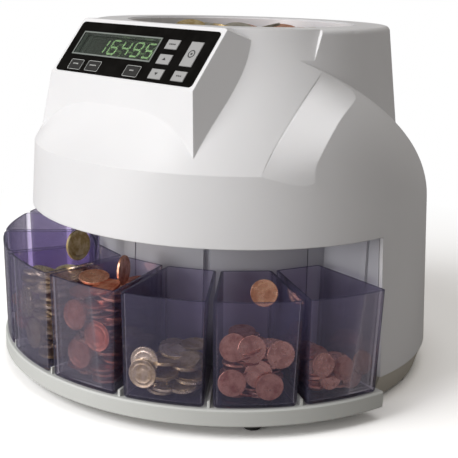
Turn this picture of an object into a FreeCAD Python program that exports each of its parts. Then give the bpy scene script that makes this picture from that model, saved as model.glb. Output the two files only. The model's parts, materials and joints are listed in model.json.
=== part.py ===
import FreeCAD, Part
import math
import os
import re

import Sketcher
from FreeCAD import Placement, Rotation, Vector

# Eight-cup tabletop coin sorter, front towards -Y, right-hand side +X, +Z up, millimetres and
# degrees throughout.  The pieces are drawn about the vertical axis of the drum at floor level;
# the written parts have their origin under the middle of the whole machine, axis_y in front.

DIMS = {
    # outer housing: conical drum with a slanted dome, a round collar and a hollowed front
    "axis_y": 9, "wall": 3, "shoulder_radius": 153.5, "shoulder_z": 171,
    "foot_radius": 161.6, "foot_z": 20.2,
    "skirt_z": 123, "front_y": -8, "blank_top": 330, "dome_z": 229.5, "dome_tilt": 28.6,
    "dome_round": 62, "collar_y": 8, "collar_radius": 113.5, "collar_taper": 7.5,
    "collar_floor_z": 140, "rim_z": 262, "rim_round": 4, "opening_radius": 88,
    # hollowed front (bib): chord from the rim down to the shoulder, sagging inwards, deepest
    # under the rim on the flanks; above notch_z it stops at a wall that leans back
    "bib_radius": 111, "bib_half_angle": 85, "bib_flank_sag": 35, "bib_front_sag": 13.3,
    "bib_front_angle": 38, "bib_columns": 12, "bib_rows": 12, "crease_x": 138,
    "crease_taper": 6.15, "crease_overlap": 0.5, "notch_y": -34.5, "notch_z": 240,
    "notch_slope": 0.387,
    # facets beside the bib: height, heading measured from +X, dip below level
    "facet_low_z": 171, "facet_low_heading": 58, "facet_low_dip": 0,
    "facet_mid_z": 192, "facet_mid_heading": 40, "facet_mid_dip": 6,
    "facet_high_z": 212, "facet_high_heading": 30, "facet_high_dip": 13,
    "facet_top_z": 234.5, "facet_top_heading": 70, "facet_top_dip": 24,
    "facet_reach": 50, "facet_overlap": 0.4,
    # control console: sloping panel, leaning front, bevelled sides
    "panel_y": -101.8, "panel_z": 241.9, "panel_tilt": 51.18, "console_front_y": -117,
    "console_front_z": 223.7, "console_lean": 6.8, "console_floor_z": 160,
    "console_back_y": -60, "console_side": 140.5, "console_bevel_x": 76,
    "console_bevel_y": -88, "console_bevel_z": 261.5,
    # rear recess for the connectors, cooling slots, screw bosses
    "recess_y": 146, "recess_half_width": 62, "recess_low_z": 25, "recess_high_z": 64,
    "vent_width": 46, "vent_height": 3, "vent_pitch": 8, "vent_low_z": 84, "vent_x": 32,
    "vent_rows": 4, "fit_gap": 0.2,
    "boss_radius": 7, "boss_ring": 153, "boss_top_z": 44, "boss_angle_side": 105,
    "boss_angle_rear": 150, "screw_bore": 1.6,
    # base plate and its rear rim band
    "plate_radius": 150, "plate_low_z": 2.5, "plate_top_z": 8.4, "band_low_radius": 156,
    "band_top_radius": 161, "band_inner_radius": 144, "band_top_z": 20.2,
    # cup tray
    "tray_inner": 108, "tray_outer": 180, "tray_low_z": 8.6, "tray_top_z": 20.8,
    "tray_half_angle": 81.3, "tray_edge": 1, "tray_web": 5.5, "tray_recess_in": 114,
    "tray_recess_out": 144, "fence_width": 1.8, "fence_in": 150, "fence_out": 177,
    "fence_top_z": 25.5,
    # feet
    "foot_pad_radius": 7, "foot_pad_round": 1.2, "foot_front_ring": 161,
    "foot_front_angle": 50.6, "foot_rear_ring": 138, "foot_rear_angle": 130,
    # inner drum behind the cups
    "drum_inner": 100.6, "drum_outer": 105, "drum_low_z": 8.5, "drum_top_z": 123.3,
    "drum_half_angle": 88, "wing_depth": 3, "wing_low_z": 20.6, "wing_top_z": 122.6,
    "wing_in_x": 103.5, "wing_gap": 0.6, "strip_width": 13, "strip_depth": 0.8,
    "groove_width": 5, "groove_depth": 3.5, "groove_angle": 35.5, "seam_width": 1,
    "seam_angle": 77, "guide_in_x": 139.5, "guide_out_x": 144, "guide_depth": 2.4,
    "guide_low_z": 30,
    # coin cups
    "cup_pitch": 20.2, "cup_side_gap": 1.6, "cup_back": 109.8, "cup_front": 179.4,
    "cup_low_z": 20.9, "cup_top_z": 94.8, "cup_draft": 1.1, "cup_wall": 1.9,
    "cup_front_round": 3.2, "cup_back_round": 3, "cup_floor_round": 2.5,
    # chute ring under the skirt
    "chute_in": 103.2, "chute_out": 151.5, "chute_low_z": 123.5, "chute_top_z": 127,
    "chute_half_angle": 85, "chute_hole_in": 118, "chute_hole_out": 147,
    "chute_hole_half": 12, "chute_lip": 2, "chute_lip_z": 121.8, "divider_width": 2.4,
    "divider_in": 106, "divider_top_z": 148,
    # hopper bowl
    "bowl_outer": 87.6, "bowl_throat": 82.5, "bowl_wall": 2.2, "bowl_low_z": 182.4,
    "bowl_lip_z": 261.6, "bowl_lip_round": 0.8,
    # rotating disc, hub and shaft
    "disc_radius": 79.4, "disc_low_z": 177, "disc_top_z": 182, "pocket_radius": 13,
    "pocket_ring": 62, "pocket_depth": 2.2, "pocket_count": 6, "part_gap": 0.05,
    "cap_radius": 17, "cap_height": 9, "cap_shoulder": 13.6, "cap_shoulder_height": 5,
    "cap_tip": 6, "cap_headroom": 0.3, "hub_radius": 14, "hub_low_z": 172.6, "hub_top_z": 176.95,
    "shaft_radius": 5, "shaft_low_z": 135, "shaft_top_z": 184, "shaft_bore": 5.02,
    "shaft_edge": 0.6,
    # sorting rail around the disc
    "rail_in": 80.2, "rail_out": 98, "rail_top_z": 182.2, "rail_thick": 5, "rail_skirt": 2.2,
    "slot_ring": 89.2, "slot_length": 18, "slot_small": 5, "slot_step": 1,
    "window_low_z": 156, "window_top_z": 170, "window_half": 11,
    # deck, posts, bearing housing and bearings
    "deck_radius": 100, "deck_low_z": 150, "deck_top_z": 154, "deck_bore": 8,
    "post_x": 66, "post_front_y": -36, "post_rear_y": 52, "post_radius": 5,
    "post_bore_depth": 16, "bearing_outer": 11, "bearing_bore": 5.06, "bearing_width": 5,
    "bearing_low_z": 155, "bearing_high_z": 165.5, "bearing_fit": 0.02, "bearing_groove": 0.8,
    "block_radius": 16, "block_top_z": 171, "block_flange": 24, "block_flange_thick": 3,
    # gear pair and motor
    "gear_module": 1, "gear_teeth": 60, "pinion_teeth": 15, "tooth_addendum": 0.8,
    "tooth_dedendum": 1.1, "tooth_backlash": 0.12, "pressure_angle": 20,
    "gear_low_z": 138, "gear_width": 6, "pinion_low_z": 137, "pinion_width": 8,
    "motor_radius": 18, "motor_low_z": 84, "motor_top_z": 129.9, "motor_shaft_radius": 2.5,
    "motor_shaft_top_z": 147, "motor_boss_radius": 6, "motor_bore": 2.52,
    "motor_edge": 1.5, "motor_boss_high": 3, "motor_boss_floor": 2, "motor_shaft_edge": 0.4,
    "bracket_low_z": 130, "bracket_thick": 2, "bracket_half": 22, "bracket_in_x": 16,
    "bracket_out_x": 60, "bracket_leg_x": 36, "bracket_bore": 7,
    # console electronics, measured from the panel face
    "overlay_width": 146.6, "overlay_height": 44.2, "overlay_thick": 0.6,
    "overlay_round": 3, "window_u": -21.2, "window_v": 3.2, "window_w": 85,
    "window_h": 18.4, "window_low": -1.5, "window_high": 0.8, "trim_width": 1.1,
    "trim_thick": 0.35, "key_gap": 0.25, "key_high": 1, "key_skirt": 1.2, "key_edge": 0.5,
    "key_rest": -3.1, "key_skirt_thick": 1.1, "key_stem_radius": 1.5, "key_stem_low": -6.5,
    "board_half_width": 69.2, "board_half_height": 19, "board_low": -10, "board_thick": 1.6,
    "switch_size": 6, "switch_high": -7.1, "display_border": 1.5,
    "spacer_u": 67.2, "spacer_v": 16.8, "spacer_radius": 1.8,
    # sensors
    "sensor_in": 85.2, "sensor_out": 95.5, "sensor_half": 7, "sensor_thick": 7,
    "sensor_gap": 0.1, "sensor_eye": 2,
    "sensor_board_half": 30, "sensor_board_y": 62, "sensor_board_depth": 18,
    "sensor_board_z": 159,
    # main board and power supply on the base plate
    "main_x": -60, "main_y": 16, "main_width": 56, "main_depth": 100, "main_z": 16.4,
    "main_chip": 14, "main_chip_height": 3, "supply_x": 8, "supply_y": 20,
    "supply_width": 48, "supply_depth": 92, "supply_height": 38, "supply_slot": 2,
    "supply_slot_margin": 6, "supply_slot_start": 12, "supply_slot_pitch": 8,
    "supply_slot_depth": 3, "supply_slots": 9,
    "standoff_radius": 3, "standoff_inset": 5,
    # connectors in the recess
    "socket_z": 43, "inlet_x": -34, "inlet_half": 14, "inlet_half_height": 11,
    "inlet_flange_half": 25, "inlet_flange_half_height": 13, "flange_thick": 2.4,
    "inlet_depth": 20, "inlet_well": 15, "inlet_well_wall": 2, "blade_half": 1,
    "blade_pitch": 7, "blade_length": 10, "switch_x": 10, "switch_half": 7,
    "switch_half_height": 11, "switch_flange": 2, "switch_depth": 14, "switch_wall": 1.4,
    "rocker_half": 5.3, "rocker_reach": 8.6, "rocker_depth": 4.5, "rocker_crown": 2.6,
    "rocker_rest": 9, "rocker_pin": 1.2, "port_x": 38, "port_half": 6.5,
    "port_half_height": 5.7, "port_depth": 16, "port_wall": 0.8, "port_tongue": 1.4,
    # fasteners and cables
    "thread_radius": 1.5, "head_radius": 3, "head_height": 2.2, "cross_width": 0.9,
    "cross_length": 3.6, "cross_depth": 1.1, "base_screw_length": 30,
    "deck_screw_length": 16, "inlet_screw_length": 9, "inlet_screw_span": 19.5,
    "cable_radius": 1.8,
}

# keypad layout on the panel face: centre across, centre up, width, height
KEYS = {
    "key_start_stop": (57.8, 2.8, 12, 20),
    "key_mode": (35, 8.9, 12.5, 8),
    "key_up": (35.2, -3.4, 13, 8.2),
    "key_down": (35.4, -15.5, 13, 8.3),
    "key_enter": (57.6, -15.1, 12.2, 8.2),
    "key_print": (-53, -15.8, 13.5, 7.5),
    "key_clear": (-33, -15.6, 13.5, 7.5),
    "key_total": (10, -15.7, 14, 8),
}
KEY_SIZES = ("u", "v", "w", "h_size")
CUP_COUNT = 8
TINY = 1e-6
NEAR = 0.01
X_AXIS = Vector(1, 0, 0)
Z_AXIS = Vector(0, 0, 1)
CONSOLE_FLANK = Vector(0.957, -0.227, 0.183)
CONSOLE_BEVEL = Vector(0.446, 0.199, 0.873)
NODES = []

doc = FreeCAD.newDocument("coin_sorter")
sheet = doc.addObject("Spreadsheet::Sheet", "dims")


# ---------------------------------------------------------------- sheet and placement helpers

def fill_sheet():
    for name, sizes in KEYS.items():
        for suffix, size in zip(KEY_SIZES, sizes):
            DIMS[name + "_" + suffix] = size
    for row, (name, size) in enumerate(DIMS.items(), start=1):
        sheet.set("A%d" % row, name)
        sheet.set("B%d" % row, str(size))
        sheet.setAlias("B%d" % row, name)
    doc.recompute()


def ref(expression):
    """Point every dimension named in an expression at the sheet."""
    return re.sub(r"[a-z][a-z_]*", lambda word: "dims." + word.group()
                  if word.group() in DIMS else word.group(), str(expression))


def dim(expression):
    """Value of an expression over the sheet."""
    value = sheet.evalExpression(ref(expression))
    return float(getattr(value, "Value", value))


def node(shape, name):
    shape.Label = name
    NODES.append(shape)
    return shape


def put(shape, x="0", y="0", z="0", axis=Z_AXIS, angle=None):
    """Drive the position, and if asked the turn, of an object from the sheet."""
    if angle is not None:
        shape.Placement = Placement(Vector(), Rotation(axis, dim(angle)))
        shape.setExpression("Placement.Rotation.Angle", ref(angle))
    for key, expression in zip("xyz", (x, y, z)):
        shape.setExpression("Placement.Base." + key, ref(expression))
    return shape


def on_panel(shape):
    """Stand an object on the sloping face of the console."""
    return put(shape, "0", "panel_y", "panel_z", X_AXIS, "panel_tilt")


# ---------------------------------------------------------------- primitives and booleans

def solid(kind, name, x="0", y="0", z="0", axis=Z_AXIS, angle=None, **sizes):
    shape = doc.addObject("Part::" + kind, name)
    for key, expression in sizes.items():
        shape.setExpression(key, ref(expression))
    return put(shape, x, y, z, axis, angle)


def box(name, x, y, z, length, width, height):
    return solid("Box", name, x, y, z, Length=length, Width=width, Height=height)


def block(name, x, y, z, half_x, half_y, height):
    """Box centred on x and y, standing on z."""
    return box(name, "(%s)-(%s)" % (x, half_x), "(%s)-(%s)" % (y, half_y), z,
               "2*(%s)" % half_x, "2*(%s)" % half_y, height)


def rod(name, x, y, z, radius, height):
    return solid("Cylinder", name, x, y, z, Radius=radius, Height=height)


def fuse(name, *shapes):
    joined = doc.addObject("Part::MultiFuse", name)
    joined.Shapes = list(shapes)
    joined.Refine = True
    return joined


def cut(name, base, *tools):
    tool = tools[0] if len(tools) == 1 else fuse(name + "_tools", *tools)
    result = doc.addObject("Part::Cut", name)
    result.Base = base
    result.Tool = tool
    result.Refine = True
    return result


def group(name, shapes):
    bundle = doc.addObject("Part::Compound", name)
    bundle.Links = shapes
    return node(bundle, name)


# ---------------------------------------------------------------- bodies and sketches

def new_body(name):
    return node(doc.addObject("PartDesign::Body", name), name)


def origin_part(body, role):
    return next(item for item in body.Origin.OriginFeatures if item.Role == role)


def new_sketch(body, name, role, offset="0", turn=None):
    sketch = body.newObject("Sketcher::SketchObject", name)
    sketch.AttachmentSupport = (origin_part(body, role), [""])
    sketch.MapMode = "FlatFace"
    if turn is not None:
        sketch.AttachmentOffset = Placement(Vector(), Rotation(Z_AXIS, dim(turn)))
        sketch.setExpression("AttachmentOffset.Rotation.Angle", ref(turn))
    sketch.setExpression("AttachmentOffset.Base.z", ref(offset))
    return sketch


def pin(sketch, edge, end, x, y):
    for kind, axis, expression in (("DistanceX", -2, x), ("DistanceY", -1, y)):
        value = dim(expression)
        if abs(value) < TINY:
            sketch.addConstraint(Sketcher.Constraint("PointOnObject", edge, end, axis))
            continue
        index = sketch.addConstraint(Sketcher.Constraint(kind, -1, 1, edge, end, value))
        sketch.setExpression("Constraints[%d]" % index, ref(expression))


def outline(sketch, points):
    """Closed polygon through pairs of expressions."""
    first = sketch.GeometryCount
    spots = [Vector(dim(x), dim(y), 0) for x, y in points]
    for start, end in zip(spots, spots[1:] + spots[:1]):
        sketch.addGeometry(Part.LineSegment(start, end), False)
    for number in range(len(points)):
        after = first + (number + 1) % len(points)
        sketch.addConstraint(Sketcher.Constraint("Coincident", first + number, 2, after, 1))
    for number, (x, y) in enumerate(points):
        pin(sketch, first + number, 1, x, y)


def rectangle(sketch, x, y, half_x, half_y):
    left, right = "(%s)-(%s)" % (x, half_x), "(%s)+(%s)" % (x, half_x)
    low, high = "(%s)-(%s)" % (y, half_y), "(%s)+(%s)" % (y, half_y)
    outline(sketch, [(left, low), (right, low), (right, high), (left, high)])


def circle(sketch, x, y, radius):
    centre = Vector(dim(x), dim(y), 0)
    edge = sketch.addGeometry(Part.Circle(centre, Z_AXIS, dim(radius)), False)
    pin(sketch, edge, 3, x, y)
    index = sketch.addConstraint(Sketcher.Constraint("Radius", edge, dim(radius)))
    sketch.setExpression("Constraints[%d]" % index, ref(radius))


def pad(body, sketch, name, length, taper=None):
    feature = body.newObject("PartDesign::Pad", name)
    feature.Profile = sketch
    feature.setExpression("Length", ref(length))
    if taper is not None:
        feature.setExpression("TaperAngle", ref(taper))
    return feature


def pocket(body, sketch, name, depth, upward=False):
    feature = body.newObject("PartDesign::Pocket", name)
    feature.Profile = sketch
    feature.Reversed = upward
    feature.setExpression("Length", ref(depth))
    return feature


def revolve(body, name, points, half_angle=None, kind="PartDesign::Revolution"):
    """Turn a section (radius, height) about the vertical axis, symmetric about +X."""
    sketch = new_sketch(body, name + "_section", "XZ_Plane")
    outline(sketch, points)
    feature = body.newObject(kind, name)
    feature.Profile = sketch
    feature.ReferenceAxis = (sketch, ["V_Axis"])
    if half_angle is None:
        feature.Angle = 360
    else:
        feature.Midplane = True
        feature.setExpression("Angle", ref("2*(%s)" % half_angle))
    return feature


def fan(body, name, features, step, forward, backward):
    """Repeat features about the vertical axis, both ways from where they were drawn."""
    for suffix, count, reverse in (("left", forward, False), ("right", backward, True)):
        pattern = body.newObject("PartDesign::PolarPattern", "%s_%s" % (name, suffix))
        pattern.Originals = features
        pattern.Axis = (origin_part(body, "Z_Axis"), [""])
        pattern.Reversed = reverse
        pattern.Occurrences = count
        pattern.setExpression("Angle", ref("%d*(%s)" % (count - 1, step)))
        body.Tip = pattern
    doc.recompute()


def ring(body, name, features, count):
    """Repeat features evenly all round the vertical axis."""
    pattern = body.newObject("PartDesign::PolarPattern", name)
    pattern.Originals = features
    pattern.Axis = (origin_part(body, "Z_Axis"), [""])
    pattern.Angle = 360
    pattern.Occurrences = count
    body.Tip = pattern
    doc.recompute()


def round_edges(body, base, name, radius, wanted):
    """Fillet the edges of a feature that a test on their midpoint and direction picks."""
    doc.recompute()
    names = []
    for number, edge in enumerate(base.Shape.Edges, start=1):
        middle = edge.valueAt((edge.FirstParameter + edge.LastParameter) / 2)
        if wanted(middle, edge):
            names.append("Edge%d" % number)
    feature = body.newObject("PartDesign::Fillet", name)
    feature.Base = (base, names)
    feature.setExpression("Radius", ref(radius))
    return feature


def fan_turn(number):
    """Angle from +X, kept positive, of one of the eight cup directions."""
    turn = "cup_pitch*%g" % (number - (CUP_COUNT - 1) / 2)
    return turn if number >= CUP_COUNT // 2 else "360+" + turn


def face_front(body):
    """Turn a body drawn about +X to the front of the machine."""
    return put(body, axis=Z_AXIS, angle="-90")


# ---------------------------------------------------------------- outer housing

def cone_blank(inset):
    """Conical drum whose slanted top is rolled over into the dome."""
    flare = dim("(foot_radius-shoulder_radius)/(shoulder_z-foot_z)")
    foot = dim("shoulder_radius") + dim("shoulder_z") * flare - inset
    top = dim("blank_top")
    blank = Part.makeCone(foot, foot - top * flare, top)
    tilt = dim("dome_tilt")
    lid = Part.makeBox(2 * top, 2 * top, top, Vector(-top, -top, 0))
    lift = dim("dome_z") - inset / math.cos(math.radians(tilt))
    lid.Placement = Placement(Vector(0, 0, lift), Rotation(X_AXIS, -tilt))
    blank = blank.cut(lid)
    rolled = [edge for edge in blank.Edges
              if edge.BoundBox.ZLength > foot / 3 and edge.BoundBox.XLength > foot]
    return blank.makeFillet(dim("dome_round") - inset, rolled)


def bib_chord(azimuth):
    """Rim point, run and outward normal of the chord down the hollowed front at an azimuth.

    The rim is a circle about the collar; radii are measured from the axis of the drum.
    """
    turn, shift = math.radians(azimuth), dim("collar_y")
    reach = math.sqrt(dim("bib_radius") ** 2 - (shift * math.sin(turn)) ** 2)
    rim = Vector(reach - shift * math.cos(turn), 0, dim("rim_z"))
    run = Vector(dim("shoulder_radius"), 0, dim("shoulder_z")) - rim
    return rim, run, Vector(run.z, 0, -run.x).normalize()


def bib_sag(azimuth, share):
    """Depth below the chord: even across the front, gathered under the rim on the flanks."""
    flank = dim("bib_flank_sag") * share * max(1 - share, 0) ** 2
    front = 4 * dim("bib_front_sag") * share * (1 - share)
    blend = math.cos(min(abs(azimuth) / dim("bib_front_angle"), 1) * math.pi / 2) ** 2
    return flank + (front - flank) * blend


def bib_point(azimuth, share, inset):
    rim, run, normal = bib_chord(azimuth)
    spot = rim + run * share + normal * (bib_sag(azimuth, share) + inset)
    turn = math.radians(azimuth)
    return Vector(spot.x * math.sin(turn), -spot.x * math.cos(turn), spot.z)


def above(grid):
    """Solid standing over a smooth surface laid through a grid of points."""
    surface = Part.BSplineSurface()
    surface.interpolate(grid)
    tool = surface.toShape().extrude(Vector(0, 0, dim("blank_top")))
    if tool.Volume < 0:
        tool.reverse()
    return tool


def mirrored(shape):
    return shape.mirror(Vector(), X_AXIS)


def notch_wall():
    """Everything behind the leaning wall where the hollow stops beside the collar."""
    low, top = dim("notch_z"), dim("blank_top")
    front = dim("notch_y")
    spots = [(front, low), (front + (top - low) * dim("notch_slope"), top), (top, top), (top, low)]
    wire = Part.makePolygon([Vector(-top, y, z) for y, z in spots + spots[:1]])
    return Part.Face(wire).extrude(Vector(2 * top, 0, 0))


def bib_tool(inset):
    columns, rows = int(dim("bib_columns")), int(dim("bib_rows"))
    end = dim("bib_half_angle")
    grid = [[bib_point(end * column / columns, row / rows, inset)
             for row in range(-1, rows + 2)] for column in range(-columns, columns + 1)]
    tool = above(grid)
    top = dim("blank_top")
    flank = Part.makeBox(top, 2 * top, 2 * top, Vector(0, -top, -top))
    flank.Placement = Placement(Vector(dim("crease_x+crease_overlap"), 0, 0),
                                Rotation(Vector(0, 1, 0), -dim("crease_taper")))
    return tool.cut(flank).cut(mirrored(flank)).cut(notch_wall())


def bisect(test, low, high):
    """Value between two bounds where a test turns from true to false."""
    while high - low > TINY:
        middle = (low + high) / 2
        if test(middle):
            low = middle
        else:
            high = middle
    return low


def crease_point(height):
    """Point at a height where the flank of the bib meets the crease plane."""
    across = dim("crease_x") - height * math.tan(math.radians(dim("crease_taper")))

    def level_point(azimuth):
        share = bisect(lambda value: bib_point(azimuth, value, 0).z > height, 0, 1)
        return bib_point(azimuth, share, 0)

    azimuth = bisect(lambda value: level_point(value).x < across, dim("bib_front_angle"),
                     dim("bib_half_angle"))
    return level_point(azimuth)


def facet_tool(inset):
    """Twisted flat from the crease round to the side of the dome."""
    keys, rules = [], []
    for station in ("low", "mid", "high", "top"):
        heading = math.radians(dim("facet_%s_heading" % station))
        dip = math.radians(dim("facet_%s_dip" % station))
        keys.append(crease_point(dim("facet_%s_z" % station)))
        rules.append(Vector(math.cos(heading) * math.cos(dip),
                            math.sin(heading) * math.cos(dip), -math.sin(dip)))
    keys = [keys[0] * 2 - keys[1]] + keys + [keys[-1] * 2 - keys[-2]]
    rules = [rules[0]] + rules + [rules[-1]]
    grid = []
    for number, (key, rule) in enumerate(zip(keys, rules)):
        along = keys[min(number + 1, len(keys) - 1)] - keys[max(number - 1, 0)]
        start = key - rule.cross(along).normalize() * inset
        reach = dim("facet_reach")
        grid.append([start + rule * (reach * step / 3 - dim("facet_overlap"))
                     for step in range(4)])
    return above(grid)


def collar(inset):
    low, high = dim("collar_floor_z"), dim("rim_z") - inset
    spread = math.tan(math.radians(dim("collar_taper"))) * (dim("rim_z") - low)
    top = dim("collar_radius") - inset
    cone = Part.makeCone(top + spread, top, high - low, Vector(0, dim("collar_y"), low))
    if inset:
        return cone
    rim = [edge for edge in cone.Edges if edge.BoundBox.ZMin > high - TINY]
    return cone.makeFillet(dim("rim_round"), rim)


def half_space(normal, distance):
    """Everything beyond a plane, as a block large enough for the housing."""
    reach = 3 * dim("foot_radius")
    slab = Part.makeBox(2 * reach, 2 * reach, reach, Vector(-reach, -reach, 0))
    slab.Placement = Placement(normal * distance, Rotation(Z_AXIS, normal))
    return slab


def trim_console(shape, inset, bevel):
    """Cut a shape back to the leaning sides, and if asked the bevels, of the console."""
    corner = Vector(dim("console_bevel_x"), dim("console_bevel_y"), dim("console_bevel_z"))
    for side in (1, -1):
        flank = Vector(side * CONSOLE_FLANK.x, CONSOLE_FLANK.y, CONSOLE_FLANK.z).normalize()
        shape = shape.cut(half_space(flank, dim("console_side") - inset))
        if bevel:
            slope = Vector(side * CONSOLE_BEVEL.x, CONSOLE_BEVEL.y, CONSOLE_BEVEL.z).normalize()
            spot = Vector(side * corner.x, corner.y, corner.z)
            shape = shape.cut(half_space(slope, slope.dot(spot) - inset))
    return shape


def panel_normal():
    tilt = math.radians(dim("panel_tilt"))
    return Vector(0, -math.sin(tilt), math.cos(tilt))


def panel_clearance(inset):
    """Room kept clear in front of the sloping panel."""
    normal = panel_normal()
    face = Vector(0, dim("panel_y"), dim("panel_z"))
    room = half_space(normal, normal.dot(face) - inset)
    width = dim("collar_radius")
    room = room.common(Part.makeBox(2 * width, 2 * width, width,
                                    Vector(-width, -2 * width, dim("shoulder_z"))))
    return trim_console(room, inset, False)


def console(inset):
    tilt, lean = math.radians(dim("panel_tilt")), math.radians(dim("console_lean"))
    panel_run, front_run = 1 / math.tan(tilt), math.tan(lean)
    panel_start = dim("panel_y") - dim("panel_z") * panel_run + inset / math.sin(tilt)
    front_start = (dim("console_front_y") - dim("console_front_z") * front_run
                   + inset / math.cos(lean))
    top, low = dim("rim_z") - inset, dim("console_floor_z")
    edge = (front_start - panel_start) / (panel_run - front_run)
    back = dim("console_back_y")
    spots = [(panel_start + top * panel_run, top), (panel_start + edge * panel_run, edge),
             (front_start + low * front_run, low), (back, low), (back, top)]
    half = dim("collar_radius")
    wire = Part.makePolygon([Vector(-half, y, z) for y, z in spots + spots[:1]])
    return trim_console(Part.Face(wire).extrude(Vector(2 * half, 0, 0)), inset, True)


def rear_recess(inset):
    half = dim("recess_half_width") + inset
    low, high = dim("recess_low_z") - inset, dim("recess_high_z") + inset
    return Part.makeBox(2 * half, dim("foot_radius"), high - low,
                        Vector(-half, dim("recess_y") - inset, low))


def shell(inset):
    """Outer form of the housing, drawn in by inset."""
    form = cone_blank(inset)
    facet = facet_tool(inset)
    form = form.cut(facet).cut(mirrored(facet)).fuse(collar(inset))
    form = form.cut(half_space(Z_AXIS, dim("rim_z") - inset)).cut(bib_tool(inset))
    form = max(form.Solids, key=lambda part: part.Volume)
    form = form.cut(panel_clearance(inset)).fuse(console(inset))
    return form.cut(rear_recess(inset))


def panel_cutter(u, v, width, height):
    """Hole square through the panel, from the sheet names of its centre and size."""
    half_w, half_h = dim(width) / 2 + dim("key_gap"), dim(height) / 2 + dim("key_gap")
    deep = 2 * dim("wall")
    tool = Part.makeBox(2 * half_w, 2 * half_h, 2 * deep,
                        Vector(dim(u) - half_w, dim(v) - half_h, -deep))
    tool.Placement = Placement(Vector(0, dim("panel_y"), dim("panel_z")),
                               Rotation(X_AXIS, dim("panel_tilt")))
    return tool


def panel_cutters():
    tools = [panel_cutter("window_u", "window_v", "window_w", "window_h")]
    for name in KEYS:
        tools.append(panel_cutter(*(name + "_" + suffix for suffix in KEY_SIZES)))
    return tools


def connector_cutters():
    """Openings in the recess wall for the inlet, the switch and the data port."""
    tools = []
    gap = dim("fit_gap")
    for part in ("inlet", "switch", "port"):
        half, tall = dim(part + "_half") + gap, dim(part + "_half_height") + gap
        tools.append(Part.makeBox(2 * half, 4 * dim("wall"), 2 * tall, Vector(
            dim(part + "_x") - half, dim("recess_y") - 2 * dim("wall"), dim("socket_z") - tall)))
    for side in (1, -1):
        spot = Vector(dim("inlet_x") + side * dim("inlet_screw_span"),
                      dim("recess_y") - 2 * dim("wall"), dim("socket_z"))
        tools.append(Part.makeCylinder(dim("screw_bore"), 4 * dim("wall"), spot,
                                       Vector(0, 1, 0)))
    return tools


def vent_cutters():
    width, height = dim("vent_width"), dim("vent_height")
    tools = []
    for side in (1, -1):
        for row in range(int(dim("vent_rows"))):
            low = dim("vent_low_z") + row * dim("vent_pitch")
            tools.append(Part.makeBox(width, dim("foot_radius"), height, Vector(
                side * dim("vent_x") - width / 2, dim("collar_radius"), low)))
    return tools


def boss_spots():
    """Ground plan of the four screw bosses, angles measured from the front."""
    spots = []
    for side in (1, -1):
        for angle in ("boss_angle_side", "boss_angle_rear"):
            turn = math.radians(side * dim(angle))
            ring_radius = dim("boss_ring")
            spots.append(Vector(ring_radius * math.sin(turn), -ring_radius * math.cos(turn)))
    return spots


def make_housing():
    outer, inner = shell(0), shell(dim("wall"))
    reach = 2 * dim("foot_radius")
    below_skirt = Part.makeBox(2 * reach, reach + dim("front_y"), dim("skirt_z"),
                               Vector(-reach, -reach, 0))
    outer = outer.cut(below_skirt).cut(half_space(-Z_AXIS, -dim("foot_z")))
    foot, height = dim("foot_z"), dim("boss_top_z") - dim("foot_z")
    housing = outer.cut(inner)
    for spot in boss_spots():
        boss = Part.makeCylinder(dim("boss_radius"), height, Vector(spot.x, spot.y, foot))
        bore = Part.makeCylinder(dim("screw_bore"), height, Vector(spot.x, spot.y, foot - 1))
        housing = housing.fuse(boss).cut(bore)
    mouth = Part.makeCylinder(dim("opening_radius"), dim("rim_z"),
                              Vector(0, dim("collar_y"), dim("console_floor_z")))
    for tool in [mouth] + panel_cutters() + connector_cutters() + vent_cutters():
        housing = housing.cut(tool)
    feature = node(doc.addObject("Part::Feature", "outer_housing"), "outer_housing")
    feature.Shape = max(housing.Solids, key=lambda part: part.Volume)
    feature.Placement = Placement()


# ---------------------------------------------------------------- base, tray, drum

def make_base_plate():
    plate = rod("plate_disc", "0", "0", "plate_low_z", "plate_radius", "plate_top_z-plate_low_z")
    band = solid("Cone", "band_blank", z="plate_low_z", Radius1="band_low_radius",
                 Radius2="band_top_radius", Height="band_top_z-plate_low_z")
    hollow = rod("band_hollow", "0", "0", "plate_low_z-1", "band_inner_radius", "band_top_z")
    front = block("band_front", "0", "front_y-band_top_radius", "0", "band_top_radius",
                  "band_top_radius", "2*band_top_z")
    joined = fuse("plate_blank", plate, cut("band_ring", band, hollow, front))
    bores = [rod("plate_bore_%d" % number, "boss_ring*sin(%s)" % angle,
                 "-boss_ring*cos(%s)" % angle, "0", "screw_bore", "2*band_top_z")
             for number, angle in enumerate(boss_angles())]
    return node(cut("base_plate", joined, *bores), "base_plate")


def boss_angles():
    return ["(%s%s)" % (sign, angle) for sign in ("", "-")
            for angle in ("boss_angle_side", "boss_angle_rear")]


def make_tray():
    body = new_body("cup_tray")
    edge_low, edge_high = "tray_low_z+tray_edge", "tray_top_z-tray_edge"
    web = "tray_top_z-tray_web"
    revolve(body, "tray_sector", [
        ("tray_inner", "tray_low_z"), ("tray_recess_in", "tray_low_z"),
        ("tray_recess_in", web), ("tray_recess_out", web), ("tray_recess_out", "tray_low_z"),
        ("tray_outer-tray_edge", "tray_low_z"), ("tray_outer", edge_low),
        ("tray_outer", edge_high), ("tray_outer-tray_edge", "tray_top_z"),
        ("tray_inner", "tray_top_z")], "tray_half_angle")
    sketch = new_sketch(body, "fence_plan", "XY_Plane", "tray_top_z")
    rectangle(sketch, "(fence_in+fence_out)/2", "0", "(fence_out-fence_in)/2",
              "fence_width/2")
    fence = pad(body, sketch, "fence", "fence_top_z-tray_top_z")
    fan(body, "fences", [fence], "cup_pitch", CUP_COUNT // 2, CUP_COUNT // 2)
    return face_front(body)


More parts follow.
